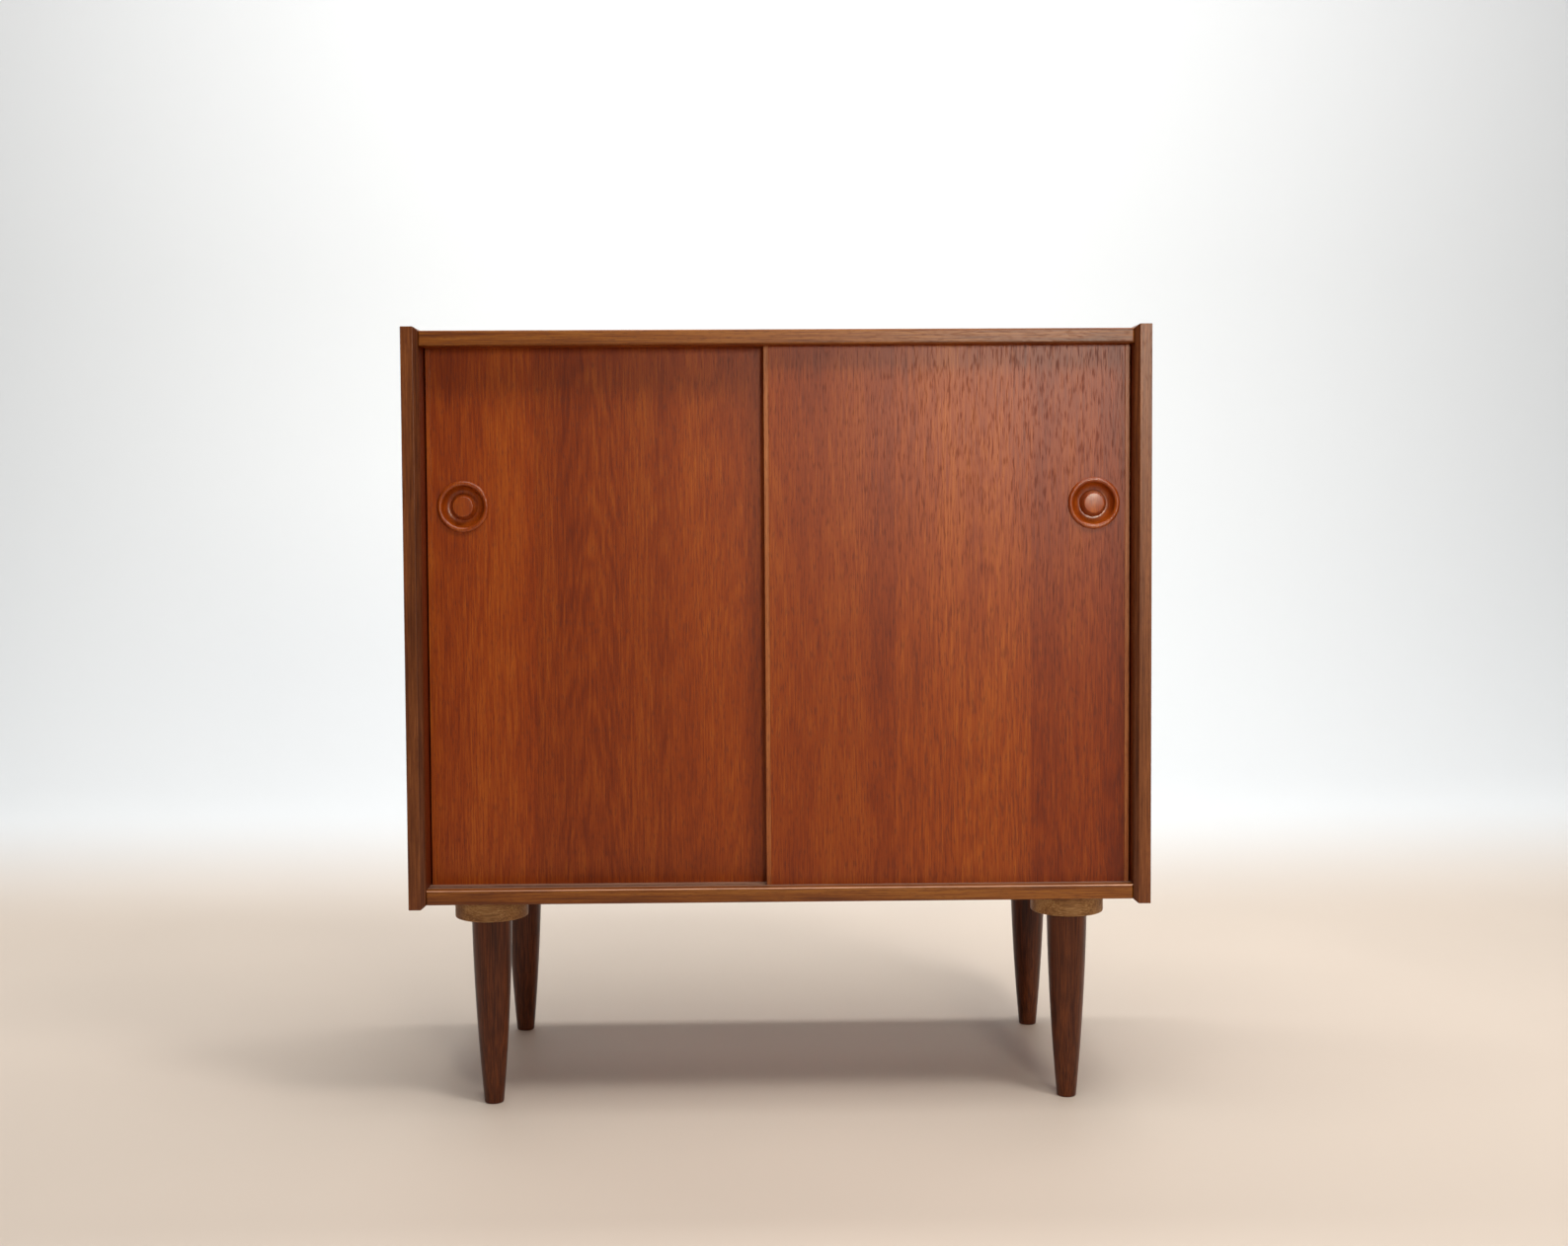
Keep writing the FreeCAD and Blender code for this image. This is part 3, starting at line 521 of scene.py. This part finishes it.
def hardboard(name, brown):
    """Pressed fibre board: matted fibres, and the wire mesh of the press in its surface."""
    tuft = 3  # millimetres across a tuft of fibres, which are too fine to show one by one
    wires = 3.4  # millimetres from wire to wire, drawn twice as coarse as real so that they show
    wave_repeats = 20 / math.tau  # how often a wave repeats in one unit, at a scale of 1
    material, tree, shader, place = start_material(name)
    fibres = add_node(tree, "ShaderNodeTexNoise",
                      {"Vector": place, "Scale": 1000 / tuft, "Detail": 6.0, "Distortion": 1.5})
    dark = tuple(part * 0.6 for part in brown[:3]) + (1,)
    light = tuple(min(1, part * 1.35) for part in brown[:3]) + (1,)
    tone = add_node(tree, "ShaderNodeValToRGB", {"Fac": fibres.outputs[0]},
                    stops=[(0.3, dark), (0.7, light)])
    mesh = [add_node(tree, "ShaderNodeTexWave",
                     {"Vector": place, "Scale": 1000 / wires / wave_repeats},
                     bands_direction=way).outputs["Fac"] for way in "XZ"]
    grid = add_node(tree, "ShaderNodeMath", {0: mesh[0], 1: mesh[1]}, operation="MULTIPLY")
    height = add_node(tree, "ShaderNodeMath", {0: grid.outputs[0], 1: fibres.outputs[0]},
                      operation="ADD")
    bump = add_node(tree, "ShaderNodeBump",
                    {"Height": height.outputs[0], "Strength": 0.3, "Distance": 0.3 * MM})
    feed(tree, shader, {"Base Color": tone.outputs["Color"], "Normal": bump.outputs[0],
                        "Roughness": 0.75})
    return material


class CABINET_OT_finishes(bpy.types.Operator):
    """Make every finish of the cabinet's woods, board and metals"""
    bl_idname = "cabinet.finishes"
    bl_label = "Finishes"

    def execute(self, context):
        c = context.scene.cabinet_colours
        s = context.scene.cabinet_sizes
        whole = 1  # a leaf wider than any piece, so that only its joint shows
        teak = (c.teak_dark, c.teak_mid, c.teak_light)
        solid = (c.lipping_dark, c.lipping_mid, c.lipping_light)
        edge = (c.edge_dark, c.edge_mid, c.edge_light)
        stain = (c.stain_dark, c.stain_mid, c.stain_light)
        beech = (c.beech_dark, c.beech_mid, c.beech_light)
        # Teak veneer, sliced and oiled: a warm brown with long fibres, and dark pores drawn
        # about three times their real 0.4 mm so that they still show from across a room.
        wood("teak_veneer_lengthways", teak, c.teak_fleck, along="X")
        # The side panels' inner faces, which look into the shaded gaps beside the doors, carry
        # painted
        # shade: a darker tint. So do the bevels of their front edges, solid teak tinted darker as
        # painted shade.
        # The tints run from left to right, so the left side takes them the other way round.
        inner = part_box("right_side_panel")[0].x
        face_end, bevel_end = inner + 2 * MM, inner + s.bevel_width
        for hand, way in (("left", -1), ("right", 1)):
            wood(f"teak_veneer_{hand}_side", teak, c.teak_fleck,
                 leaves=(way * face_end, whole, ("B8A09A", "FFFFFF")[::way]))
            wood(f"solid_teak_{hand}_front_edge", edge, c.teak_fleck, drift=(12, 260, 0.22),
                 figure=(30, 400, 3, 0.05), fibre=(1.3, 50, 0.35), gloss=0.34,
                 leaves=(way * bevel_end, whole, ("CCC2BE", "FFFFFF")[::way]))
        # The doors' leaves are cut at joints, and each leaf has its own figure and tint. The
        # second leaf of the left door has arches, and the right door's pores are bolder.
        left_joint, right_joint, arch_centre = -264 * MM, 126 * MM, -206 * MM
        wood("teak_veneer_left_door", teak, c.teak_fleck,
             leaves=(left_joint, s.leaf_width, ("FBF2EA", "EBE2DA", "F8F4EE")),
             arches=(arch_centre, 20 * MM, 60 * MM, 0.08))
        wood("teak_veneer_right_door", teak, c.teak_fleck, fleck=(1.5, 12, 0.42),
             leaves=(right_joint, s.leaf_width, ("EFE6E4", "FFFFFF", "E8DADC")))
        # In front of the doors the bottom's veneer is painted greyish, a painted sheen of grazing
        # light, and its upper front arris carries a pale painted highlight.
        grazing_sheen = (c.sheen_veneer_dark, c.sheen_veneer_mid, c.sheen_veneer_light)
        behind_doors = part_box("left_door_panel")[1].y
        wood("teak_veneer_painted_sheen_front", grazing_sheen, c.teak_fleck, along="X",
             leaves=(behind_doors, whole, ("FFFFFF", "FFA22F"), "Y"))
        # A pale painted highlight for the bottom lipping's upper front arris.
        wood("solid_teak_painted_highlight_arris", (c.arris_highlight_dark, c.arris_highlight_mid, c.arris_highlight_light), c.sheen_veneer_mid,
             along="X", drift=(12, 300, 0.35))
        # Solid teak, planed and oiled: straighter and a little yellower than the veneer.
        for way, axis in (("lengthways", "X"), ("front_to_back", "Y")):
            wood("solid_teak_" + way, solid, c.teak_fleck, along=axis, drift=(12, 500, 0.35),
                 figure=(30, 400, 3, 0.05), fibre=(1.3, 60, 0.35), shine=0.35)
        # The doors' edge strips: close to the veneer on the left door, yellower on the right.
        strip = (c.strip_dark, c.strip_mid, c.strip_light)
        for hand, tones in (("left", teak), ("right", strip)):
            wood(f"solid_teak_{hand}_door_edge", tones, c.teak_fleck,
                 drift=(12, 500, 0.25), fibre=(1.3, 70, 0.3))
        # Turned teak, oiled: the same wood cut round, so the figure closes up on the curves.
        wood("turned_teak_oiled", teak, c.teak_fleck, drift=(14, 60, 0.25),
             figure=(12, 70, 2, 0.05), fibre=(1.0, 18, 0.25), fleck=(0.9, 6, 0.3), gloss=0.28,
             shine=0.5)
        # Turned beech, stained red-brown and lacquered: fine upright streaks under a soft shine.
        wood("turned_beech_stained", stain, c.stain_dark, drift=(20, 240, 0.3),
             figure=(18, 200, 2, 0.06), fibre=(1.4, 60, 0.35), fleck=(0.9, 5, 0.25), gloss=0.3,
             shine=0.25)
        # Turned beech, oiled: a dull tan with the small flecks of beech.
        wood("turned_beech_oiled", beech, c.beech_dark, along="X", drift=(16, 90, 0.35),
             figure=(9, 70, 2, 0.08), fibre=(1.2, 16, 0.35), fleck=(0.8, 3.5, 0.35), gloss=0.55)
        # Dowels, beech as it comes from the fluting die: dry and matt.
        wood("dowel_beech_fluted", beech, c.beech_dark, along="X", gloss=0.6)
        # Hardboard, pressed wet on a wire mesh: matt brown fibres.
        hardboard("hardboard_pressed", c.board_brown)
        # Steel, zinc plated, and brass, turned: small hard highlights.
        plated("steel_zinc_plated", c.steel, 0.38, 0.5)
        plated("brass_turned", c.brass, 0.3, 0.4)
        return {"FINISHED"}


class CABINET_OT_kept_parts(bpy.types.Operator):
    """Lay the finishes on the CAD nodes whose shape stays"""
    bl_idname = "cabinet.kept_parts"
    bl_label = "Panels, boards, collars and fittings"

    def execute(self, context):
        kept = {
            "left_side_panel": "teak_veneer_left_side",
            "right_side_panel": "teak_veneer_right_side",
            "top_board": "teak_veneer_lengthways",
            "bottom_board": "teak_veneer_painted_sheen_front",
            "shelf": "teak_veneer_lengthways",
            "top_dowels": "dowel_beech_fluted",
            "bottom_dowels": "dowel_beech_fluted",
            "back_panel": "hardboard_pressed",
            "back_panel_pins": "steel_zinc_plated",
            "leg_bolts": "steel_zinc_plated",
            "leg_inserts": "steel_zinc_plated",
        }
        for corner in CORNERS:
            kept["collar_" + corner] = "turned_beech_oiled"
        for node, finish in kept.items():
            lay_finish(NODES[node], finish)
        return {"FINISHED"}


# ---------------------------------------------------------------- planed pieces
class CABINET_OT_side_lippings(bpy.types.Operator):
    """Plane the solid teak lippings of both side panels, bevelled towards the doors"""
    bl_idname = "cabinet.side_lippings"
    bl_label = "Side lippings"

    def execute(self, context):
        s = context.scene.cabinet_sizes
        low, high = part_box("right_side_front_lipping")
        slope = Vector((-s.bevel_depth, -s.bevel_width, 0))
        front = stick("side_front_lipping_right", low, high)
        plane_off(front, (low.x + s.bevel_width, low.y, 0), slope)
        for end, way in ((low.z, -1), (high.z, 1)):
            slope = Vector((-s.bevel_depth, 0, way * s.bevel_width))
            plane_off(front, (low.x + s.bevel_width, 0, end), slope)
        ease(front, s.easing)
        fit(copied(front, "side_front_lipping_left", mirrored=True), "left_side_front_lipping",
            "solid_teak_left_front_edge")
        fit(front, "right_side_front_lipping", "solid_teak_right_front_edge")
        for word, way in (("bottom", -1), ("top", 1)):
            low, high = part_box(f"right_side_{word}_lipping")
            end = high.z if way > 0 else low.z
            slope = Vector((-s.bevel_depth, 0, way * s.bevel_width))
            strip = stick(f"side_{word}_lipping_right", low, high)
            plane_off(strip, (low.x + s.bevel_width, 0, end), slope)
            ease(strip, s.lipping_easing)
            fit(copied(strip, f"side_{word}_lipping_left", mirrored=True),
                f"left_side_{word}_lipping", "solid_teak_front_to_back")
            fit(strip, f"right_side_{word}_lipping", "solid_teak_front_to_back")
        return {"FINISHED"}


class CABINET_OT_board_lippings(bpy.types.Operator):
    """Plane the solid front lippings of the top, the bottom and the shelf"""
    bl_idname = "cabinet.board_lippings"
    bl_label = "Board lippings"

    def execute(self, context):
        s = context.scene.cabinet_sizes
        tilted = 0.2  # how far a face of the upper front arris leans both ways
        for word in ("top_board", "bottom_board", "shelf"):
            low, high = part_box(word + "_lipping")
            edge = stick(word + "_front", low, high)
            round_edge(edge, s.board_arris, lambda corner: corner.y < low.y + MM)
            ease(edge, s.lipping_easing)
            fit(edge, word + "_lipping", "solid_teak_lengthways")
            # The upper front arris of the bottom's lipping takes the painted highlight.
            if word == "bottom_board":
                edge.data.materials.append(bpy.data.materials["solid_teak_painted_highlight_arris"])
                for face in edge.data.polygons:
                    face.material_index = int(face.normal.y < -tilted and face.normal.z > tilted)
        return {"FINISHED"}


class CABINET_OT_doors(bpy.types.Operator):
    """Make both doors: a veneered slab bored for its pull, and its two upright solid lippings"""
    bl_idname = "cabinet.doors"
    bl_label = "Doors"

    def execute(self, context):
        s = context.scene.cabinet_sizes
        through = 60 * MM  # well over a door's thickness
        for hand in ("left", "right"):
            low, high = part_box(f"{hand}_door_panel")
            slab = door_slab(f"{hand}_door_slab", low, high, s)
            pull_low, pull_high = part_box(f"{hand}_door_pull")
            spot = (pull_low + pull_high) / 2
            bore = (pull_high.x - pull_low.x) / 2 - s.rim_width + s.cup_wall + s.cup_clearance
            bpy.ops.object.select_all(action="DESELECT")
            bpy.ops.mesh.primitive_cylinder_add(vertices=s.facets, radius=bore, depth=through,
                                                location=spot, rotation=(math.pi / 2, 0, 0))
            cut_out(slab, named("pull_bore_cutter"))
            ease(slab, s.lipping_easing)
            fit(slab, f"{hand}_door_panel", f"teak_veneer_{hand}_door")
            for edge in ("outer", "inner"):
                node = f"{hand}_door_{edge}_lipping"
                low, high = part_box(node)
                strip = door_slab(f"{hand}_door_{edge}_edge", low, high, s)
                ease(strip, s.lipping_easing)
                fit(strip, node, f"solid_teak_{hand}_door_edge")
        return {"FINISHED"}


# ---------------------------------------------------------------- turned pieces
class CABINET_OT_legs(bpy.types.Operator):
    """Turn one swollen, tapered leg with its bolt bore, and copy it to the four corners"""
    bl_idname = "cabinet.legs"
    bl_label = "Legs"

    def execute(self, context):
        s = context.scene.cabinet_sizes
        low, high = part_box("leg_front_left")
        centre = Vector(((low.x + high.x) / 2, (low.y + high.y) / 2, low.z))
        foot, top, tall = s.foot_diameter / 2, (high.x - low.x) / 2, high.z - low.z
        profile = [(0, 0)]
        profile += arc((foot - s.foot_rounding, 0), (foot, s.foot_rounding), s.foot_rounding,
                       steps=5)
        profile += arc((foot, s.foot_rounding), (top, tall), s.leg_swell, steps=14)[1:]
        profile += [(s.bolt_diameter / 2, tall), (s.bolt_diameter / 2, tall - s.bolt_depth)]
        profile += [(0, tall - s.bolt_depth)]
        first = turned("turned_leg_front_left", profile, s.facets, centre, UP)
        legs = {"front_left": first}
        for corner in CORNERS[1:]:
            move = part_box("leg_" + corner)[0] - low
            legs[corner] = copied(first, "turned_leg_" + corner, move)
        for corner, leg in legs.items():
            fit(leg, "leg_" + corner, "turned_beech_stained")
        return {"FINISHED"}


class CABINET_OT_pulls(bpy.types.Operator):
    """Turn one round pull, with its rim, dish and boss, and copy it to the other door"""
    bl_idname = "cabinet.pulls"
    bl_label = "Pulls"

    def execute(self, context):
        s = context.scene.cabinet_sizes
        low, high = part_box("left_door_pull")
        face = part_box("left_door_panel")[0].y
        centre = Vector(((low.x + high.x) / 2, face, (low.z + high.z) / 2))
        outer = (high.x - low.x) / 2
        recess = outer - s.rim_width
        cup = recess + s.cup_wall
        behind = high.y - face
        rim = s.rim_width / 2 + s.rim_flattening
        boss, base = s.boss_top / 2, s.boss_base / 2
        dish = s.dish_roundness * math.hypot(recess - base, s.dish_depth + s.rim_base)
        profile = [(0, -s.boss_face)]
        profile += arc((boss - s.boss_rounding, -s.boss_face),
                       (boss, s.boss_rounding - s.boss_face), s.boss_rounding, steps=6)
        profile += arc((base, s.dish_depth), (recess, -s.rim_base), dish, steps=14, side=-1)
        profile += arc((recess, -s.rim_base), (outer, -s.rim_base), rim, steps=14)[1:]
        profile += [(outer, 0), (cup, 0), (cup, behind), (0, behind)]
        left = turned("turned_pull_left", profile, s.facets, centre, Vector((0, 1, 0)))
        right = copied(left, "turned_pull_right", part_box("right_door_pull")[0] - low)
        for hand, pull in (("left", left), ("right", right)):
            fit(pull, hand + "_door_pull", "turned_teak_oiled")
        return {"FINISHED"}


class CABINET_OT_shelf_pins(bpy.types.Operator):
    """Turn one flanged brass shelf pin with chamfered ends, and copy it to its four holes"""
    bl_idname = "cabinet.shelf_pins"
    bl_label = "Shelf pins"

    def execute(self, context):
        s = context.scene.cabinet_sizes
        low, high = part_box("shelf_pins")
        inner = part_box("right_side_panel")[0].x
        into = high.x - inner
        radius, flange, chamfer = s.pin_diameter / 2, s.pin_flange / 2, s.pin_chamfer
        profile = [(0, -into), (radius - chamfer, -into), (radius, chamfer - into), (radius, 0)]
        profile += [(flange - chamfer, 0), (flange, chamfer), (flange, s.pin_flange_thickness)]
        profile += [(radius, s.pin_flange_thickness), (radius, s.pin_reach - chamfer)]
        profile += [(radius - chamfer, s.pin_reach), (0, s.pin_reach)]
        spot = Vector((-inner, low.y + flange, (low.z + high.z) / 2))
        first = turned("shelf_pin_first", profile, s.pin_facets, spot, Vector((1, 0, 0)),
                       Vector((0, 1, 0)))
        behind = copied(first, "shelf_pin_behind", (0, high.y - low.y - 2 * flange, 0))
        pins = [first, behind]
        pins += [copied(pin, pin.name + "_right", mirrored=True) for pin in (first, behind)]
        fit(joined(pins, "flanged_shelf_pins"), "shelf_pins", "brass_turned")
        return {"FINISHED"}


class CABINET_OT_collar_screws(bpy.types.Operator):
    """Turn one countersunk screw, slot its head, and copy it round the four collars"""
    bl_idname = "cabinet.collar_screws"
    bl_label = "Collar screws"

    def execute(self, context):
        s = context.scene.cabinet_sizes
        low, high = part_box("collar_screws")
        head, shank, sink = s.screw_head / 2, s.screw_shank / 2, s.screw_sink
        tall = high.z - low.z
        profile = [(0, 0), (head, 0), (shank, sink), (shank, tall), (0, tall)]
        leg_low, leg_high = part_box("leg_front_left")
        collar_low, collar_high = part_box("collar_front_left")
        circle = (leg_high.x - leg_low.x + collar_high.x - collar_low.x) / 4
        hub = Vector(((leg_low.x + leg_high.x) / 2, (leg_low.y + leg_high.y) / 2, low.z))
        half = Vector((s.screw_slot / 2, s.screw_head, s.screw_slot))
        screws = []
        for index, turn in enumerate((90, 210, 330)):
            angle = math.radians(turn)
            spot = hub + circle * Vector((math.cos(angle), math.sin(angle), 0))
            screw = turned(f"screw_{index}", profile, s.screw_facets, spot, UP)
            cut_out(screw, stick("slot_cutter", spot - half, spot + half))
            screws.append(screw)
        trio = joined(screws, "slotted_screws_front_left")
        trios = [trio]
        for corner in CORNERS[1:]:
            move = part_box("leg_" + corner)[0] - leg_low
            trios.append(copied(trio, "slotted_screws_" + corner, move))
        fit(joined(trios, "slotted_collar_screws"), "collar_screws",
            "steel_zinc_plated")
        return {"FINISHED"}


# ---------------------------------------------------------------- the room
def matt_sweep(name, floor, wall):
    """A matt floor with a faint cloud of tone, going over into the wall in one piece."""
    near, far = 0.7, 1.9  # metres behind the cabinet's middle from floor colour to wall colour
    material, tree, shader, place = start_material(name)
    cloud = add_node(tree, "ShaderNodeTexNoise", {"Vector": place, "Scale": 1.5})
    dull = tuple(part * 0.95 for part in floor[:3]) + (1,)
    tone = add_node(tree, "ShaderNodeValToRGB", {"Fac": cloud.outputs[0]},
                    stops=[(0.3, dull), (0.7, floor)])
    behind = add_node(tree, "ShaderNodeSeparateXYZ", {"Vector": place}).outputs["Y"]
    share = add_node(tree, "ShaderNodeMapRange",
                     {"Value": behind, "From Min": near, "From Max": far},
                     interpolation_type="SMOOTHSTEP")
    blend = add_node(tree, "ShaderNodeMix",
                     {0: share.outputs[0], 6: tone.outputs["Color"], 7: wall}, data_type="RGBA")
    feed(tree, shader, {"Base Color": blend.outputs[2], "Roughness": 0.6,
                        "Specular IOR Level": 0.2})
    return material


def soft_light(name, place, target, size, power, tint, spread=180):
    """A soft light that faces a target, spreads by so many degrees and doesn't show itself."""
    way = Vector(target) - Vector(place)
    bpy.ops.object.light_add(type="AREA", location=place,
                             rotation=way.to_track_quat("-Z", "Y").to_euler())
    light = bpy.context.object
    light.name = name
    light.data.shape = "RECTANGLE"
    light.data.size, light.data.size_y = size
    light.data.energy = power
    light.data.color = tint
    light.data.spread = math.radians(spread)
    light.visible_camera = False


class CABINET_OT_stage(bpy.types.Operator):
    """Lay a plain pale floor that curves up behind, and set the lights and the camera"""
    bl_idname = "cabinet.stage"
    bl_label = "Floor, lights and camera"

    def execute(self, context):
        scene = context.scene
        c = scene.cabinet_colours
        wide, deep, back, tall, curve = 16, 12, 3.6, 5, 1.4  # the sweep, in metres
        bpy.ops.object.select_all(action="DESELECT")
        bpy.ops.mesh.primitive_plane_add(size=1, location=(0, back - deep / 2, 0))
        context.object.scale = (wide, deep, 1)
        floor = named("pale_sweep")
        bpy.ops.object.mode_set(mode="EDIT")
        pick_edges(floor, lambda corner: corner.y > back - curve)
        bpy.ops.mesh.extrude_region_move(TRANSFORM_OT_translate={"value": (0, 0, tall)})
        pick_edges(floor, lambda corner: corner.y > back - curve and corner.z < curve)
        bpy.ops.mesh.bevel(offset=curve, segments=24, affect="EDGES")
        bpy.ops.object.mode_set(mode="OBJECT")
        bpy.ops.object.shade_smooth()
        floor.data.materials.append(matt_sweep("pale_floor_matt", c.floor, c.room))

        world = bpy.data.worlds.new("studio")
        scene.world = world
        world.use_nodes = True
        feed(world.node_tree, world.node_tree.nodes["Background"],
             {"Color": c.room, "Strength": 0.12})
        # The standard view shows each finish in the colour it was given.
        scene.view_settings.view_transform = "Standard"
        # The small window light is what lies as a sheen on the right door's upper half.
        soft_light("window", (0.8, -3.2, 1.25), (0.3, -0.2, 0.95), size=(0.5, 0.65), power=4.1,
                   tint=(1.0, 0.94, 0.8), spread=56)
        soft_light("key", (1.5, -1.6, 3.1), (0, 0, 0.4), size=(0.7, 0.7), power=32,
                   tint=(1.0, 0.97, 0.94))
        soft_light("overhead", (0.2, -0.9, 3.2), (0.1, -0.6, 0), size=(2.2, 2.2), power=66,
                   tint=(1, 0.99, 0.97))
        soft_light("backdrop", (0, 0.9, 3.6), (0, 3.6, 1.2), size=(4.0, 0.8), power=108,
                   tint=(1, 1, 1))

        eye = (-0.0316, -2.182, 0.657)
        turn, tip, roll = math.radians(1.07), math.radians(2.55), math.radians(-0.34)
        stand = Matrix.Rotation(-turn, 4, "Z") @ Matrix.Rotation(math.pi / 2 - tip, 4, "X")
        stand = stand @ Matrix.Rotation(roll, 4, "Z")
        bpy.ops.object.camera_add(location=eye, rotation=stand.to_euler())
        camera = context.object
        camera.data.lens = 42.35
        camera.data.sensor_width = 36
        camera.data.shift_y = -0.0195
        camera.data.clip_end = 60
        scene.camera = camera
        return {"FINISHED"}


# ---------------------------------------------------------------- the add-on
STEPS = (
    CABINET_OT_finishes,
    CABINET_OT_kept_parts,
    CABINET_OT_side_lippings,
    CABINET_OT_board_lippings,
    CABINET_OT_doors,
    CABINET_OT_pulls,
    CABINET_OT_legs,
    CABINET_OT_shelf_pins,
    CABINET_OT_collar_screws,
    CABINET_OT_stage,
)


class CABINET_PT_steps(bpy.types.Panel):
    """The cabinet's pieces, in the order in which they are made"""
    bl_idname = "CABINET_PT_steps"
    bl_label = "Sliding-door cabinet"
    bl_space_type = "VIEW_3D"
    bl_region_type = "UI"
    bl_category = "Cabinet"

    def draw(self, context):
        for step in STEPS:
            self.layout.operator(step.bl_idname)
        for group in (context.scene.cabinet_sizes, context.scene.cabinet_colours):
            box = self.layout.box()
            for name in group.__annotations__:
                box.prop(group, name)


CLASSES = (CabinetSizes, CabinetColours, *STEPS, CABINET_PT_steps)


def register():
    """Add the classes and the scene's properties."""
    for part in CLASSES:
        bpy.utils.register_class(part)
    bpy.types.Scene.cabinet_sizes = bpy.props.PointerProperty(type=CabinetSizes)
    bpy.types.Scene.cabinet_colours = bpy.props.PointerProperty(type=CabinetColours)


def unregister():
    """Take them away again."""
    del bpy.types.Scene.cabinet_sizes
    del bpy.types.Scene.cabinet_colours
    for part in reversed(CLASSES):
        bpy.utils.unregister_class(part)


def main():
    """Make every piece in order."""
    register()
    for step in STEPS:
        area, name = step.bl_idname.split(".")
        getattr(getattr(bpy.ops, area), name)()


if __name__ == "__main__":
    main()
